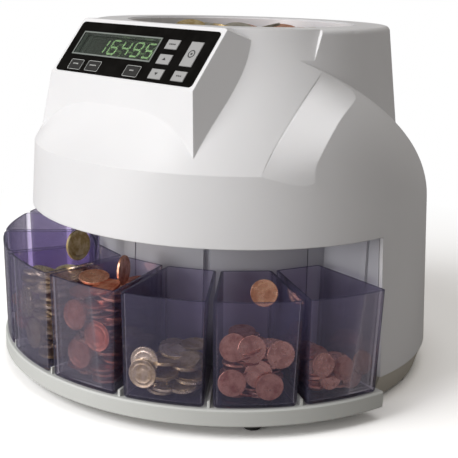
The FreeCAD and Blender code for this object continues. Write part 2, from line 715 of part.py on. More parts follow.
def make_feet():
    feet = []
    for place, low_face in (("front", "tray_low_z"), ("rear", "plate_low_z")):
        for side in (1, -1):
            name = "foot_%s_%s" % (place, "right" if side > 0 else "left")
            angle = "(%d*foot_%s_angle)" % (side, place)
            spot = ("foot_%s_ring*sin(%s)" % (place, angle),
                    "-foot_%s_ring*cos(%s)" % (place, angle))
            tip = solid("Cone", name + "_tip", *spot, Radius1="foot_pad_radius-foot_pad_round",
                        Radius2="foot_pad_radius", Height="foot_pad_round")
            stem = rod(name + "_stem", *spot, "foot_pad_round", "foot_pad_radius",
                       low_face + "-foot_pad_round")
            feet.append(fuse(name, tip, stem))
    return group("rubber_feet", feet)


def make_drum():
    """Curved wall behind the cups with flat wings closing the column on either side."""
    body = new_body("inner_drum")
    revolve(body, "drum_wall", [
        ("drum_inner", "drum_low_z"), ("drum_outer", "drum_low_z"),
        ("drum_outer", "drum_top_z"), ("drum_inner", "drum_top_z")], "drum_half_angle")
    flare = "(foot_radius-shoulder_radius)/(shoulder_z-foot_z)"
    reach = "(shoulder_radius-wall-wing_gap+(shoulder_z-(%s))*" + flare + ")"
    for sign in ("", "-"):
        low, high = reach % "wing_low_z", reach % "wing_top_z"
        name = "left" if sign else "right"
        wing = new_sketch(body, "wing_face_" + name, "YZ_Plane", "-front_y-wing_depth")
        outline(wing, [(sign + "wing_in_x", "wing_low_z"), (sign + low, "wing_low_z"),
                       (sign + high, "wing_top_z"), (sign + "wing_in_x", "wing_top_z")])
        pad(body, wing, "wing_" + name, "wing_depth")
        guide = new_sketch(body, "guide_face_" + name, "YZ_Plane", "-front_y")
        outline(guide, [(sign + "guide_in_x", "guide_low_z"),
                        (sign + "guide_out_x", "guide_low_z"),
                        (sign + "guide_out_x", "wing_top_z"),
                        (sign + "guide_in_x", "wing_top_z")])
        pad(body, guide, "guide_" + name, "guide_depth")
    strip = new_sketch(body, "strip_plan", "XY_Plane", "drum_low_z")
    rectangle(strip, "drum_outer", "0", "strip_depth", "strip_width/2")
    pad(body, strip, "strip", "drum_top_z-drum_low_z")
    for name, turn in (("groove", "groove_angle"), ("seam", "seam_angle")):
        for side, angle in (("right", turn), ("left", "360-" + turn)):
            plan = new_sketch(body, "%s_plan_%s" % (name, side), "XY_Plane", "drum_low_z",
                              angle)
            rectangle(plan, "drum_outer", "0", "groove_depth", name + "_width/2")
            pocket(body, plan, "%s_%s" % (name, side), "drum_top_z-drum_low_z", True)
    return face_front(body)


def make_chutes():
    """Ring of eight drop chutes under the skirt, with dividers between the coin paths."""
    body = new_body("chute_ring")
    revolve(body, "chute_floor", [
        ("chute_in", "chute_low_z"), ("chute_out", "chute_low_z"),
        ("chute_out", "chute_top_z"), ("chute_in", "chute_top_z")], "chute_half_angle")
    centre = "(chute_hole_in+chute_hole_out)/2"
    half = "(chute_hole_out-chute_hole_in)/2"
    lips = new_sketch(body, "lip_plan", "XY_Plane", "chute_lip_z", "cup_pitch/2")
    rectangle(lips, centre, "0", half + "+chute_lip", "chute_hole_half+chute_lip")
    lip = pad(body, lips, "lip", "chute_low_z-chute_lip_z")
    holes = new_sketch(body, "hole_plan", "XY_Plane", "chute_lip_z", "cup_pitch/2")
    rectangle(holes, centre, "0", half, "chute_hole_half")
    hole = pocket(body, holes, "hole", "chute_top_z-chute_lip_z", True)
    fan(body, "chutes", [lip, hole], "cup_pitch", CUP_COUNT // 2, CUP_COUNT // 2 + 1)
    walls = new_sketch(body, "divider_plan", "XY_Plane", "chute_top_z")
    rectangle(walls, "(divider_in+chute_out)/2", "0", "(chute_out-divider_in)/2",
              "divider_width/2")
    wall = pad(body, walls, "divider", "divider_top_z-chute_top_z")
    fan(body, "dividers", [wall], "cup_pitch", CUP_COUNT // 2 + 1, CUP_COUNT // 2 + 1)
    return face_front(body)


# ---------------------------------------------------------------- coin cups

def wedge(name, inset, headroom):
    """Drafted wedge with rounded corners, drawn about +X; inset draws every wall inwards."""
    body = doc.addObject("PartDesign::Body", name)
    low = "cup_low_z+" + inset
    lean = "(cup_top_z-(%s))*tan(cup_draft*1 deg)" % low
    back, front = "(cup_back+%s+%s)" % (lean, inset), "(cup_front-%s-%s)" % (lean, inset)
    gap = "(cup_side_gap+%s+%s)" % (lean, inset)
    half = "(cup_pitch/2*1 deg)"
    tip = "(%s-asin(%s/%s))" % (half, gap, front)
    tip_x, tip_y = "%s*cos(%s)" % (front, tip), "%s*sin(%s)" % (front, tip)
    back_y = "(%s*tan(%s)-%s/cos(%s))" % (back, half, gap, half)
    corners = [(back, "-" + back_y), (tip_x, "-" + tip_y), (tip_x, tip_y), (back, back_y)]
    plan = new_sketch(body, name + "_plan", "XY_Plane", low)
    spots = [Vector(dim(x), dim(y), 0) for x, y in corners]
    reach = math.radians(dim(tip))
    bow = Part.ArcOfCircle(Part.Circle(Vector(), Z_AXIS, dim(front)), -reach, reach)
    for edge in (Part.LineSegment(spots[0], spots[1]), bow,
                 Part.LineSegment(spots[2], spots[3]), Part.LineSegment(spots[3], spots[0])):
        plan.addGeometry(edge, False)
    for edge in range(4):
        plan.addConstraint(Sketcher.Constraint("Coincident", edge, 2, (edge + 1) % 4, 1))
    plan.addConstraint(Sketcher.Constraint("Coincident", 1, 3, -1, 1))
    for edge, corner in ((0, 0), (1, 1), (3, 3)):
        pin(plan, edge, 1, *corners[corner])
    index = plan.addConstraint(Sketcher.Constraint("DistanceY", -1, 1, 2, 1, spots[2].y))
    plan.setExpression("Constraints[%d]" % index, ref(tip_y))
    base = pad(body, plan, name + "_block", "cup_top_z+%s-(%s)" % (headroom, low), "cup_draft")
    middle = dim("(cup_low_z+cup_top_z+%s+%s)/2" % (inset, headroom))
    split = dim("(cup_back+cup_front)/2")
    base = round_edges(body, base, name + "_front_corners", "cup_front_round-" + inset,
                       lambda spot, edge: abs(spot.z - middle) < 1 and spot.x > split)
    base = round_edges(body, base, name + "_back_corners", "cup_back_round-" + inset,
                       lambda spot, edge: abs(spot.z - middle) < 1 and spot.x < split - 20)
    floor = dim(low)
    round_edges(body, base, name + "_floor_edge", "cup_floor_round-" + inset,
                lambda spot, edge: abs(spot.z - floor) < NEAR)
    return body


def make_cup(name, angle):
    """Open wedge-shaped cup turned to its place in the fan."""
    cup = cut(name, wedge(name + "_block_form", "0", "0"), wedge(name + "_core", "cup_wall", "1"))
    return put(node(cup, name), axis=Z_AXIS, angle=angle)


def make_cups():
    for number in range(CUP_COUNT):
        make_cup("cup_%d" % (number + 1), "(%d-0.5)*cup_pitch-90-cup_pitch*%d"
                 % (number + 1, CUP_COUNT // 2))


# ---------------------------------------------------------------- hopper, disc and rail

def make_bowl():
    body = new_body("hopper_bowl")
    lip_low = "bowl_lip_z-bowl_lip_round"
    revolve(body, "bowl", [
        ("bowl_throat", "bowl_low_z"), ("bowl_outer", lip_low), ("bowl_outer", "bowl_lip_z"),
        ("bowl_outer-bowl_wall+bowl_lip_round", "bowl_lip_z"),
        ("bowl_outer-bowl_wall", lip_low), ("bowl_throat-bowl_wall", "bowl_low_z")])
    return put(body, y="collar_y")


def make_disc():
    body = new_body("coin_disc")
    revolve(body, "disc", [
        ("shaft_bore", "disc_low_z"), ("disc_radius", "disc_low_z"),
        ("disc_radius", "disc_top_z-shaft_edge"), ("disc_radius-shaft_edge", "disc_top_z"),
        ("shaft_bore", "disc_top_z")])
    plan = new_sketch(body, "pocket_plan", "XY_Plane", "disc_top_z")
    circle(plan, "pocket_ring", "0", "pocket_radius")
    dent = pocket(body, plan, "pocket", "pocket_depth")
    ring(body, "pockets", [dent], int(dim("pocket_count")))
    return put(body, y="collar_y")


def make_hub():
    hub = rod("hub_barrel", "0", "collar_y", "hub_low_z", "hub_radius",
              "hub_top_z-hub_low_z")
    bore = rod("hub_bore", "0", "collar_y", "0", "shaft_bore", "rim_z")
    return node(cut("disc_hub", hub, bore), "disc_hub")


def make_cap():
    """Rounded cap nut over the end of the shaft that stirs the coins."""
    body = new_body("disc_cap")
    revolve(body, "cap", [
        ("shaft_bore", "disc_top_z+part_gap"), ("cap_radius", "disc_top_z+part_gap"),
        ("cap_shoulder", "disc_top_z+cap_shoulder_height"),
        ("cap_tip", "disc_top_z+cap_height"), ("0", "disc_top_z+cap_height"),
        ("0", "shaft_top_z+cap_headroom"), ("shaft_bore", "shaft_top_z+cap_headroom")])
    return put(body, y="collar_y")


def make_rail():
    """Fixed ring round the disc with one slot per coin size, widest to the left."""
    body = new_body("sorting_rail")
    low = "rail_top_z-rail_thick"
    revolve(body, "rail", [
        ("rail_in", low), ("rail_out-rail_skirt", low),
        ("rail_out-rail_skirt", "deck_top_z+part_gap"), ("rail_out", "deck_top_z+part_gap"),
        ("rail_out", "rail_top_z"), ("rail_in", "rail_top_z")])
    for number in range(CUP_COUNT):
        turn = fan_turn(number)
        slot = new_sketch(body, "slot_plan_%d" % (number + 1), "XY_Plane", low, turn)
        rectangle(slot, "slot_ring", "0",
                  "(slot_small+%d*slot_step)/2" % (CUP_COUNT - 1 - number),
                  "slot_length/2")
        pocket(body, slot, "slot_%d" % (number + 1), "rail_thick", True)
        door = new_sketch(body, "door_plan_%d" % (number + 1), "XY_Plane", "window_low_z", turn)
        rectangle(door, "rail_out", "0", "2*rail_skirt", "window_half")
        pocket(body, door, "door_%d" % (number + 1), "window_top_z-window_low_z", True)
    return put(body, y="collar_y", axis=Z_AXIS, angle="-90")


def make_shaft():
    body = new_body("drive_shaft")
    chamfer = "shaft_radius-shaft_edge"
    revolve(body, "shaft", [
        ("0", "shaft_low_z"), (chamfer, "shaft_low_z"),
        ("shaft_radius", "shaft_low_z+shaft_edge"), ("shaft_radius", "shaft_top_z-shaft_edge"),
        (chamfer, "shaft_top_z"), ("0", "shaft_top_z")])
    return put(body, y="collar_y")


def make_bearings():
    rings = []
    for place in ("low", "high"):
        level = "bearing_%s_z" % place
        outer = rod("bearing_%s_outer" % place, "0", "collar_y", level, 
                    "bearing_outer-bearing_fit", "bearing_width")
        bore = rod("bearing_%s_bore" % place, "0", "collar_y", level + "-1", "bearing_bore",
                   "bearing_width+2")
        groove = solid("Torus", "bearing_%s_groove" % place, "0", "collar_y",
                       level + "+bearing_width", Radius1="(bearing_outer+bearing_bore)/2",
                       Radius2="bearing_groove")
        rings.append(cut("bearing_%s" % place, outer, bore, groove))
    return group("shaft_bearings", rings)


def make_block():
    body = new_body("bearing_housing")
    low = "deck_top_z+part_gap"
    step = low + "+block_flange_thick"
    revolve(body, "block", [
        ("bearing_outer", low), ("block_flange", low), ("block_flange", step),
        ("block_radius", step), ("block_radius", "block_top_z"),
        ("bearing_outer", "block_top_z")])
    return put(body, y="collar_y")


# ---------------------------------------------------------------- deck, gears and motor

def make_deck():
    disc = rod("deck_disc", "0", "collar_y", "deck_low_z", "deck_radius",
               "deck_top_z-deck_low_z")
    bores = [rod("deck_bore_shaft", "0", "collar_y", "0", "deck_bore", "rim_z")]
    for number, (x, y) in enumerate(post_spots()):
        bores.append(rod("deck_bore_%d" % number, x, y, "0", "screw_bore", "rim_z"))
    return node(cut("drive_deck", disc, *bores), "drive_deck")


def post_spots():
    return [(sign + "post_x", y) for sign in ("", "-") for y in ("post_front_y", "post_rear_y")]


def make_posts():
    posts = []
    for number, (x, y) in enumerate(post_spots()):
        post = rod("post_barrel_%d" % number, x, y, "plate_top_z", "post_radius",
                   "deck_low_z-plate_top_z")
        bore = rod("post_bore_%d" % number, x, y, "deck_low_z-post_bore_depth", "screw_bore",
                   "post_bore_depth+1")
        posts.append(cut("post_%d" % number, post, bore))
    return group("deck_posts", posts)


def involute(base, radius, turn, side):
    """Point of the tooth flank at a radius, the tooth centred on an angle."""
    roll = math.sqrt(max((radius / base) ** 2 - 1, 0))
    angle = turn - side * (roll - math.atan(roll))
    return Vector(radius * math.cos(angle), radius * math.sin(angle), 0)


def gear_blank(teeth, width):
    """Stub-tooth involute gear outline, first tooth on +X, extruded upwards."""
    module, pressure = dim("gear_module"), math.radians(dim("pressure_angle"))
    pitch = module * teeth / 2
    base = pitch * math.cos(pressure)
    tip = pitch + module * dim("tooth_addendum")
    root = pitch - module * dim("tooth_dedendum")
    start = max(base, root)
    thickness = math.pi * module / 2 - dim("tooth_backlash")
    half = thickness / (2 * pitch) + math.tan(pressure) - pressure
    steps = 4
    radii = [start + (tip - start) * step / steps for step in range(steps + 1)]
    edges, ends = [], []
    for number in range(teeth):
        turn = 2 * math.pi * number / teeth
        rising = [involute(base, radius, turn - half, -1) for radius in radii]
        falling = [involute(base, radius, turn + half, 1) for radius in reversed(radii)]
        foot_in, foot_out = rising[0] * (root / start), falling[-1] * (root / start)
        edges += [flank(rising), Part.makeLine(rising[-1], falling[0]), flank(falling)]
        if start > root:
            edges += [Part.makeLine(foot_in, rising[0]), Part.makeLine(falling[-1], foot_out)]
        ends.append((foot_in, foot_out))
    for tooth, following in zip(ends, ends[1:] + ends[:1]):
        edges.append(Part.makeLine(tooth[1], following[0]))
    wire = Part.Wire(Part.__sortEdges__(edges))
    return Part.Face(wire).extrude(Vector(0, 0, width))


def flank(points):
    curve = Part.BSplineCurve()
    curve.interpolate(points)
    return curve.toShape()


def gear_feature(name, teeth, width, bore):
    shape = gear_blank(teeth, width)
    feature = node(doc.addObject("Part::Feature", name), name)
    feature.Shape = shape.cut(Part.makeCylinder(bore, 2 * width, Vector(0, 0, -width / 2)))
    return feature


def make_gears():
    wheel = gear_feature("drive_gear", int(dim("gear_teeth")), dim("gear_width"),
                         dim("shaft_bore"))
    wheel.Placement = Placement(Vector(0, dim("collar_y"), dim("gear_low_z")), Rotation())
    pinion = gear_feature("motor_pinion", int(dim("pinion_teeth")), dim("pinion_width"),
                          dim("motor_bore"))
    pinion.Placement = Placement(Vector(dim(motor_x()), dim("collar_y"), dim("pinion_low_z")),
                                 Rotation())


def motor_x():
    return "gear_module*(gear_teeth+pinion_teeth)/2"


def make_motor():
    body = new_body("gear_motor")
    low, high = "motor_low_z", "motor_top_z"
    boss, dish = high + "+motor_boss_high", high + "+motor_boss_floor"
    revolve(body, "can", [
        ("0", low), ("motor_radius-motor_edge", low), ("motor_radius", low + "+motor_edge"),
        ("motor_radius", high), ("motor_boss_radius", high), ("motor_boss_radius", boss),
        ("motor_boss_radius/2", boss), ("motor_boss_radius/2", dish), ("0", dish)])
    return put(body, motor_x(), "collar_y")


def make_motor_shaft():
    body = new_body("motor_shaft")
    low = "motor_top_z+motor_boss_floor+2*part_gap"
    revolve(body, "spindle", [
        ("0", low), ("motor_shaft_radius", low),
        ("motor_shaft_radius", "motor_shaft_top_z-motor_shaft_edge"),
        ("motor_shaft_radius-motor_shaft_edge", "motor_shaft_top_z"),
        ("0", "motor_shaft_top_z")])
    return put(body, motor_x(), "collar_y")


def make_bracket():
    floor = block("bracket_floor", "(bracket_in_x+bracket_out_x)/2", "collar_y",
                  "bracket_low_z", "(bracket_out_x-bracket_in_x)/2", "bracket_half",
                  "bracket_thick")
    legs = [box("bracket_leg_%s" % name, "bracket_leg_x", y, "bracket_low_z",
                "bracket_out_x-bracket_leg_x", "bracket_thick", "deck_low_z-bracket_low_z")
            for name, y in (("front", "collar_y-bracket_half"),
                            ("rear", "collar_y+bracket_half-bracket_thick"))]
    hole = rod("bracket_hole", motor_x(), "collar_y", "0", "bracket_bore", "deck_low_z")
    return node(cut("motor_bracket", fuse("bracket_form", floor, *legs), hole),
                "motor_bracket")


# ---------------------------------------------------------------- console electronics

def make_overlay():
    body = new_body("panel_overlay")
    face = new_sketch(body, "overlay_face", "XY_Plane")
    rectangle(face, "0", "0", "overlay_width/2", "overlay_height/2")
    sheet_pad = pad(body, face, "overlay_sheet", "overlay_thick")
    half = dim("overlay_thick") / 2
    corners = round_edges(body, sheet_pad, "overlay_corners", "overlay_round",
                          lambda spot, edge: abs(spot.z - half) < TINY)
    holes = new_sketch(body, "overlay_holes", "XY_Plane")
    rectangle(holes, "window_u", "window_v", "window_w/2+0.1", "window_h/2+0.1")
    for name in KEYS:
        rectangle(holes, name + "_u", name + "_v", name + "_w/2+key_gap/2",
                  name + "_h_size/2+key_gap/2")
    pocket(body, holes, "overlay_cutouts", "overlay_thick", True)
    return on_panel(body)


def make_window():
    body = new_body("display_window")
    face = new_sketch(body, "pane_face", "XY_Plane", "window_low")
    rectangle(face, "window_u", "window_v", "window_w/2-0.1", "window_h/2-0.1")
    pane = pad(body, face, "pane", "window_high-window_low")
    high = dim("window_high")
    round_edges(body, pane, "pane_edge", "0.2", lambda spot, edge: spot.z > high - TINY)
    return on_panel(body)


def make_trim():
    body = new_body("window_trim")
    face = new_sketch(body, "trim_face", "XY_Plane", "overlay_thick")
    rectangle(face, "window_u", "window_v", "window_w/2+trim_width", "window_h/2+trim_width")
    rectangle(face, "window_u", "window_v", "window_w/2", "window_h/2")
    pad(body, face, "trim", "trim_thick")
    return on_panel(body)


def make_key(name):
    """Key cap with a retaining skirt behind the panel and a stem on to its switch."""
    body = new_body(name)
    centre = (name + "_u", name + "_v")
    half_w, half_h = name + "_w/2", name + "_h_size/2"
    skirt = new_sketch(body, name + "_skirt_face", "XY_Plane", "key_rest-key_skirt_thick")
    rectangle(skirt, *centre, half_w + "+key_skirt", half_h + "+key_skirt")
    pad(body, skirt, name + "_skirt", "key_skirt_thick")
    cap_face = new_sketch(body, name + "_cap_face", "XY_Plane", "key_rest")
    rectangle(cap_face, *centre, half_w + "-key_gap/2", half_h + "-key_gap/2")
    cap = pad(body, cap_face, name + "_cap", "key_high-key_rest")
    stem_face = new_sketch(body, name + "_stem_face", "XY_Plane", "key_stem_low")
    circle(stem_face, *centre, "key_stem_radius")
    stem = pad(body, stem_face, name + "_stem", "key_rest-key_skirt_thick-key_stem_low")
    high = dim("key_high")
    round_edges(body, stem, name + "_cap_edge", "key_edge",
                lambda spot, edge: spot.z > high - TINY)
    return on_panel(body)


def make_display():
    case = block("display_case", "window_u", "window_v", "board_low+board_thick",
                 "window_w/2-display_border", "window_h/2-display_border",
                 "window_low-0.1-board_low-board_thick")
    lead = block("display_lead", "window_u", "window_v-window_h/2",
                 "board_low+board_thick", "window_w/4", "display_border", "display_border")
    return on_panel(node(fuse("display_module", case, lead), "display_module"))


def make_control_board():
    plate = block("control_plate", "0", "0", "board_low", "board_half_width",
                  "board_half_height", "board_thick")
    top = "board_low+board_thick"
    switches = [block(name + "_switch", name + "_u", name + "_v", top, "switch_size/2",
                      "switch_size/2", "switch_high-board_low-board_thick") for name in KEYS]
    return on_panel(node(fuse("control_board", plate, *switches), "control_board"))


def make_spacers():
    """Pillars from the back of the panel to the control board."""
    top = "board_low+board_thick"
    pillars = [rod("spacer_%d" % number, u, v, top, "spacer_radius",
                   "-wall-part_gap-board_low-board_thick")
               for number, (u, v) in enumerate((u, v) for u in ("spacer_u", "-spacer_u")
                                               for v in ("spacer_v", "-spacer_v"))]
    return on_panel(group("panel_spacers", pillars))


# ---------------------------------------------------------------- sensors, boards, supply

def make_sensors():
    sensors = []
    for number in range(CUP_COUNT):
        name = "sensor_%d" % (number + 1)
        case = block(name + "_case", "(sensor_in+sensor_out)/2", "0", "rail_top_z+sensor_gap",
                     "(sensor_out-sensor_in)/2", "sensor_half", "sensor_thick")
        eye = rod(name + "_eye", "(sensor_in+sensor_out)/2", "0", "rail_top_z", "sensor_eye",
                  "sensor_thick/2")
        sensors.append(put(cut(name, case, eye), y="collar_y", axis=Z_AXIS,
                           angle="%s-90" % fan_turn(number)))
    return group("coin_sensors", sensors)


def make_sensor_board():
    plate = box("sensor_plate", "-sensor_board_half", "sensor_board_y", "sensor_board_z",
                "2*sensor_board_half", "sensor_board_depth", "board_thick")
    plug = box("sensor_plug", "-sensor_board_half/3", "sensor_board_y+2",
               "sensor_board_z+board_thick", "2*sensor_board_half/3", "5", "4")
    return node(fuse("sensor_board", plate, plug), "sensor_board")


def make_main_board():
    plate = box("main_plate", "main_x", "main_y", "main_z", "main_width", "main_depth",
                "board_thick")
    top = "main_z+board_thick"
    chips = [box("main_chip_%d" % number, "main_x+main_width*%s" % across,
                 "main_y+main_depth*%s" % along, top, "main_chip", "main_chip",
                 "main_chip_height")
             for number, (across, along) in enumerate((("0.15", "0.12"), ("0.5", "0.45"),
                                                       ("0.15", "0.75")))]
    sockets = [box("main_socket_%d" % number, "main_x+main_width*0.84", "main_y+%d" % along, top,
                   "6", "18", "8") for number, along in enumerate((12, 40, 70))]
    return node(fuse("main_board", plate, *chips, *sockets), "main_board")


def make_supply():
    case = box("supply_case", "supply_x", "supply_y", "plate_top_z+part_gap", "supply_width",
               "supply_depth", "supply_height")
    slots = [box("supply_slot_%d" % number, "supply_x+supply_slot_margin",
                 "supply_y+supply_slot_start+%d*supply_slot_pitch" % number,
                 "plate_top_z+supply_height-supply_slot_depth",
                 "supply_width-2*supply_slot_margin", "supply_slot", "2*supply_slot_depth")
             for number in range(int(dim("supply_slots")))]
    return node(cut("power_supply", case, *slots), "power_supply")


def make_standoffs():
    """Pillars under the main board and the sensor board."""
    inset = "standoff_inset"
    spots = [(x, y, "plate_top_z", "main_z-plate_top_z")
             for x in ("main_x+" + inset, "main_x+main_width-" + inset)
             for y in ("main_y+" + inset, "main_y+main_depth-" + inset)]
    spots += [("%s*(sensor_board_half-%s)" % (side, inset), "sensor_board_y+sensor_board_depth/2",
               "deck_top_z", "sensor_board_z-deck_top_z") for side in (1, -1)]
    pillars = [rod("standoff_%d" % number, x, y, z, "standoff_radius", height)
               for number, (x, y, z, height) in enumerate(spots)]
    return group("board_standoffs", pillars)


# ---------------------------------------------------------------- rear connectors

def slab(name, x, y, half, half_height, depth):
    """Box centred on x and on the connector height, running inwards from y."""
    return box(name, "(%s)-(%s)" % (x, half), "(%s)-(%s)" % (y, depth),
               "socket_z-(%s)" % half_height, "2*(%s)" % half, depth, "2*(%s)" % half_height)


def make_inlet():
    face = "recess_y+flange_thick"
    flange = slab("inlet_flange", "inlet_x", face, "inlet_flange_half",
                  "inlet_flange_half_height", "flange_thick")
    case = slab("inlet_case", "inlet_x", face, "inlet_half", "inlet_half_height",
                "inlet_depth+flange_thick")
    well = slab("inlet_hollow", "inlet_x", face + "+1", "inlet_half-inlet_well_wall",
                "inlet_half_height-inlet_well_wall", "inlet_well+1")
    bores = [solid("Cylinder", "inlet_bore_" + name, "inlet_x%sinlet_screw_span" % sign,
                   "recess_y+2*flange_thick", "socket_z", X_AXIS, "90", Radius="screw_bore",
                   Height="4*flange_thick") for name, sign in (("right", "+"), ("left", "-"))]
    blades = [slab("inlet_blade_%d" % number, "inlet_x+(%d)*blade_pitch" % number,
                   face + "-inlet_well+blade_length", "blade_half", "3", "blade_length+1")
              for number in (-1, 0, 1)]
    shroud = cut("inlet_shroud", fuse("inlet_form", flange, case), well, *bores)
    return node(fuse("power_inlet", shroud, *blades), "power_inlet")


def make_switch():
    face = "recess_y+flange_thick"
    flange = slab("switch_bezel", "switch_x", face, "switch_half+switch_flange",
                  "switch_half_height+switch_flange", "flange_thick")
    case = slab("switch_case", "switch_x", face, "switch_half", "switch_half_height",
                "switch_depth+flange_thick")
    well = slab("switch_hollow", "switch_x", face + "+1", "switch_half-switch_wall",
                "switch_half_height-switch_wall", "switch_depth+flange_thick-switch_wall+1")
    hole = solid("Cylinder", "switch_pivot_hole", "switch_x-switch_half+0.3",
                 "recess_y", "socket_z", Vector(0, 1, 0), "90", Radius="rocker_pin+0.05",
                 Height="2*switch_half-0.6")
    return node(cut("power_switch_frame", fuse("switch_form", flange, case), well, hole),
                "power_switch_frame")


def make_rocker():
    """See-saw of the power switch, pivoting on pins that run along X."""
    body = new_body("power_rocker")
    profile = new_sketch(body, "rocker_profile", "YZ_Plane")
    outline(profile, [("-rocker_depth", "-rocker_reach*0.7"), ("rocker_crown", "-rocker_reach"),
                      ("rocker_crown*0.4", "0"), ("rocker_crown", "rocker_reach"),
                      ("-rocker_depth", "rocker_reach*0.7")])
    cap = pad(body, profile, "rocker_cap", "2*rocker_half")
    cap.Midplane = True
    pins = new_sketch(body, "rocker_pins_profile", "YZ_Plane")
    circle(pins, "0", "0", "rocker_pin")
    axle = pad(body, pins, "rocker_pins", "2*(switch_half-switch_wall+0.9)")
    axle.Midplane = True
    return put(body, "switch_x", "recess_y", "socket_z", X_AXIS, "rocker_rest")


def make_port():
    face = "recess_y+1"
    case = slab("port_shell", "port_x", face, "port_half", "port_half_height", "port_depth")
    hollow = slab("port_hollow", "port_x", face + "+1", "port_half-port_wall",
                  "port_half_height-port_wall", "port_depth-3")
    tongue = slab("port_tongue", "port_x", face + "-2", "port_half-3", "port_tongue",
                  "port_depth-4")
    return node(fuse("data_port", cut("port_socket", case, hollow), tongue), "data_port")


# ---------------------------------------------------------------- fasteners and cables

def pan_screw(name, length):
    """Cross-recessed screw, head below the origin and shank up +Z."""
    shank = rod(name + "_shank", "0", "0", "0", "thread_radius", length)
    head = solid("Cone", name + "_head", z="-head_height", Radius1="head_radius*0.75",
                 Radius2="head_radius", Height="head_height")
    low = "-head_height-1"
    bars = [block(name + "_bar_" + way, "0", "0", low, half_x, half_y, "cross_depth+1")
            for way, half_x, half_y in (("x", "cross_length/2", "cross_width/2"),
                                        ("y", "cross_width/2", "cross_length/2"))]
    return cut(name, fuse(name + "_form", shank, head), *bars)


def make_screws():
    base = [put(pan_screw("base_screw_%d" % number, "base_screw_length"),
                "boss_ring*sin(%s)" % angle, "-boss_ring*cos(%s)" % angle, "plate_low_z")
            for number, angle in enumerate(boss_angles())]
    group("base_screws", base)
    deck = [put(pan_screw("deck_screw_%d" % number, "deck_screw_length"), x, y, "deck_top_z",
                X_AXIS, "180") for number, (x, y) in enumerate(post_spots())]
    group("deck_screws", deck)
    inlet = [put(pan_screw("inlet_screw_" + name, "inlet_screw_length"),
                 "inlet_x%sinlet_screw_span" % sign, "recess_y+flange_thick", "socket_z",
                 X_AXIS, "90") for name, sign in (("right", "+"), ("left", "-"))]
    group("inlet_screws", inlet)


# waypoints of the cables: motor to main board, supply to main board, main board to console
CABLES = (
    ((34, 8, 82.6), (20, 5, 62), (-10, 8, 40), (-30, 30, 20.5)),
    ((24, 40, 48), (8, 48, 56), (-14, 56, 44), (-28, 56, 20.5)),
    ((-50, 50, 20.5), (-92, 34, 50), (-122, 30, 120), (-112, 4, 172), (-95, -50, 203),
     (-60, -84.7, 228.1), (-55.2, -92.8, 234.6)),
)


def make_loom():
    cables = []
    for route in CABLES:
        curve = Part.BSplineCurve()
        curve.interpolate([Vector(*spot) for spot in route])
        path = Part.Wire(curve.toShape())
        ring_edge = Part.makeCircle(dim("cable_radius"), curve.value(curve.FirstParameter),
                                    curve.tangent(curve.FirstParameter)[0])
        cables.append(path.makePipeShell([Part.Wire(ring_edge)], True, False))
    feature = node(doc.addObject("Part::Feature", "wiring_loom"), "wiring_loom")
    feature.Shape = Part.Compound(cables)
    feature.Placement = Placement()


# ---------------------------------------------------------------- build and write

def build():
    fill_sheet()
    for maker in (make_housing, make_base_plate, make_tray, make_feet, make_drum, make_chutes,
                  make_cups, make_bowl, make_disc, make_cap, make_hub, make_rail, make_shaft,
                  make_bearings, make_block, make_deck, make_posts, make_gears, make_motor,
                  make_motor_shaft, make_bracket, make_overlay, make_window, make_trim,
                  make_display, make_control_board, make_spacers, make_sensors,
                  make_sensor_board, make_main_board, make_supply, make_standoffs, make_inlet,
                  make_switch, make_rocker, make_port, make_screws, make_loom):
        maker()
    for name in KEYS:
        make_key(name)
    doc.recompute()


def write_parts():
    for item in doc.Objects:
        if "Invalid" in item.State or "Error" in item.State:
            raise RuntimeError("%s did not build: %s" % (item.Name, item.State))
    os.makedirs("parts", exist_ok=True)
    for item in NODES:
        shape = item.Shape
        if shape.isNull() or not shape.isValid() or not shape.Solids:
            raise RuntimeError("%s has no sound solid" % item.Label)
        placed = shape.translated(Vector(0, dim("axis_y"), 0))
        placed.exportStep("parts/%s.step" % item.Label)
        print("%-20s %3d solid(s) %10.1f mm3" % (item.Label, len(shape.Solids), shape.Volume))


build()
write_parts()
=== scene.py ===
import json
import math
import random

import bmesh
import bpy
from mathutils import Matrix, Vector


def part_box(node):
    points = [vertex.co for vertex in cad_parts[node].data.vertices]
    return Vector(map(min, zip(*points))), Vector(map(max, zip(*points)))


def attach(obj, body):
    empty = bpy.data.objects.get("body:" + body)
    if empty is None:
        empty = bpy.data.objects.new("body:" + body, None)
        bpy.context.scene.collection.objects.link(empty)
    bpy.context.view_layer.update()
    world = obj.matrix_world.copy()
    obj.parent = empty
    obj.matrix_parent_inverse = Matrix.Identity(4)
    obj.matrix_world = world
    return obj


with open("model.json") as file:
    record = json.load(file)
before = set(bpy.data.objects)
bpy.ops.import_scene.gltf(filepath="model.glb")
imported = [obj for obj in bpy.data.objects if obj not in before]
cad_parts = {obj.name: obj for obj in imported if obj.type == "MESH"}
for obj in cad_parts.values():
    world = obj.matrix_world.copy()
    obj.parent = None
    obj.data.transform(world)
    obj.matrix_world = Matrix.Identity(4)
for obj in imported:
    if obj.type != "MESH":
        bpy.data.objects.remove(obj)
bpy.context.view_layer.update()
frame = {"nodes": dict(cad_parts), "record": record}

NODES = frame["nodes"]
MM = 0.001

# Metres. The drum axis is TRAY_RADIUS behind the tray's front.
TRAY_RADIUS = 0.18
AXIS_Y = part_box("cup_tray")[0].y + TRAY_RADIUS
PANEL_TILT = math.radians(51.18)
PANEL_CENTRE = Vector((0, AXIS_Y - 0.1018, 0.2419))
PANEL = Matrix.Translation(PANEL_CENTRE) @ Matrix.Rotation(PANEL_TILT, 4, "X")

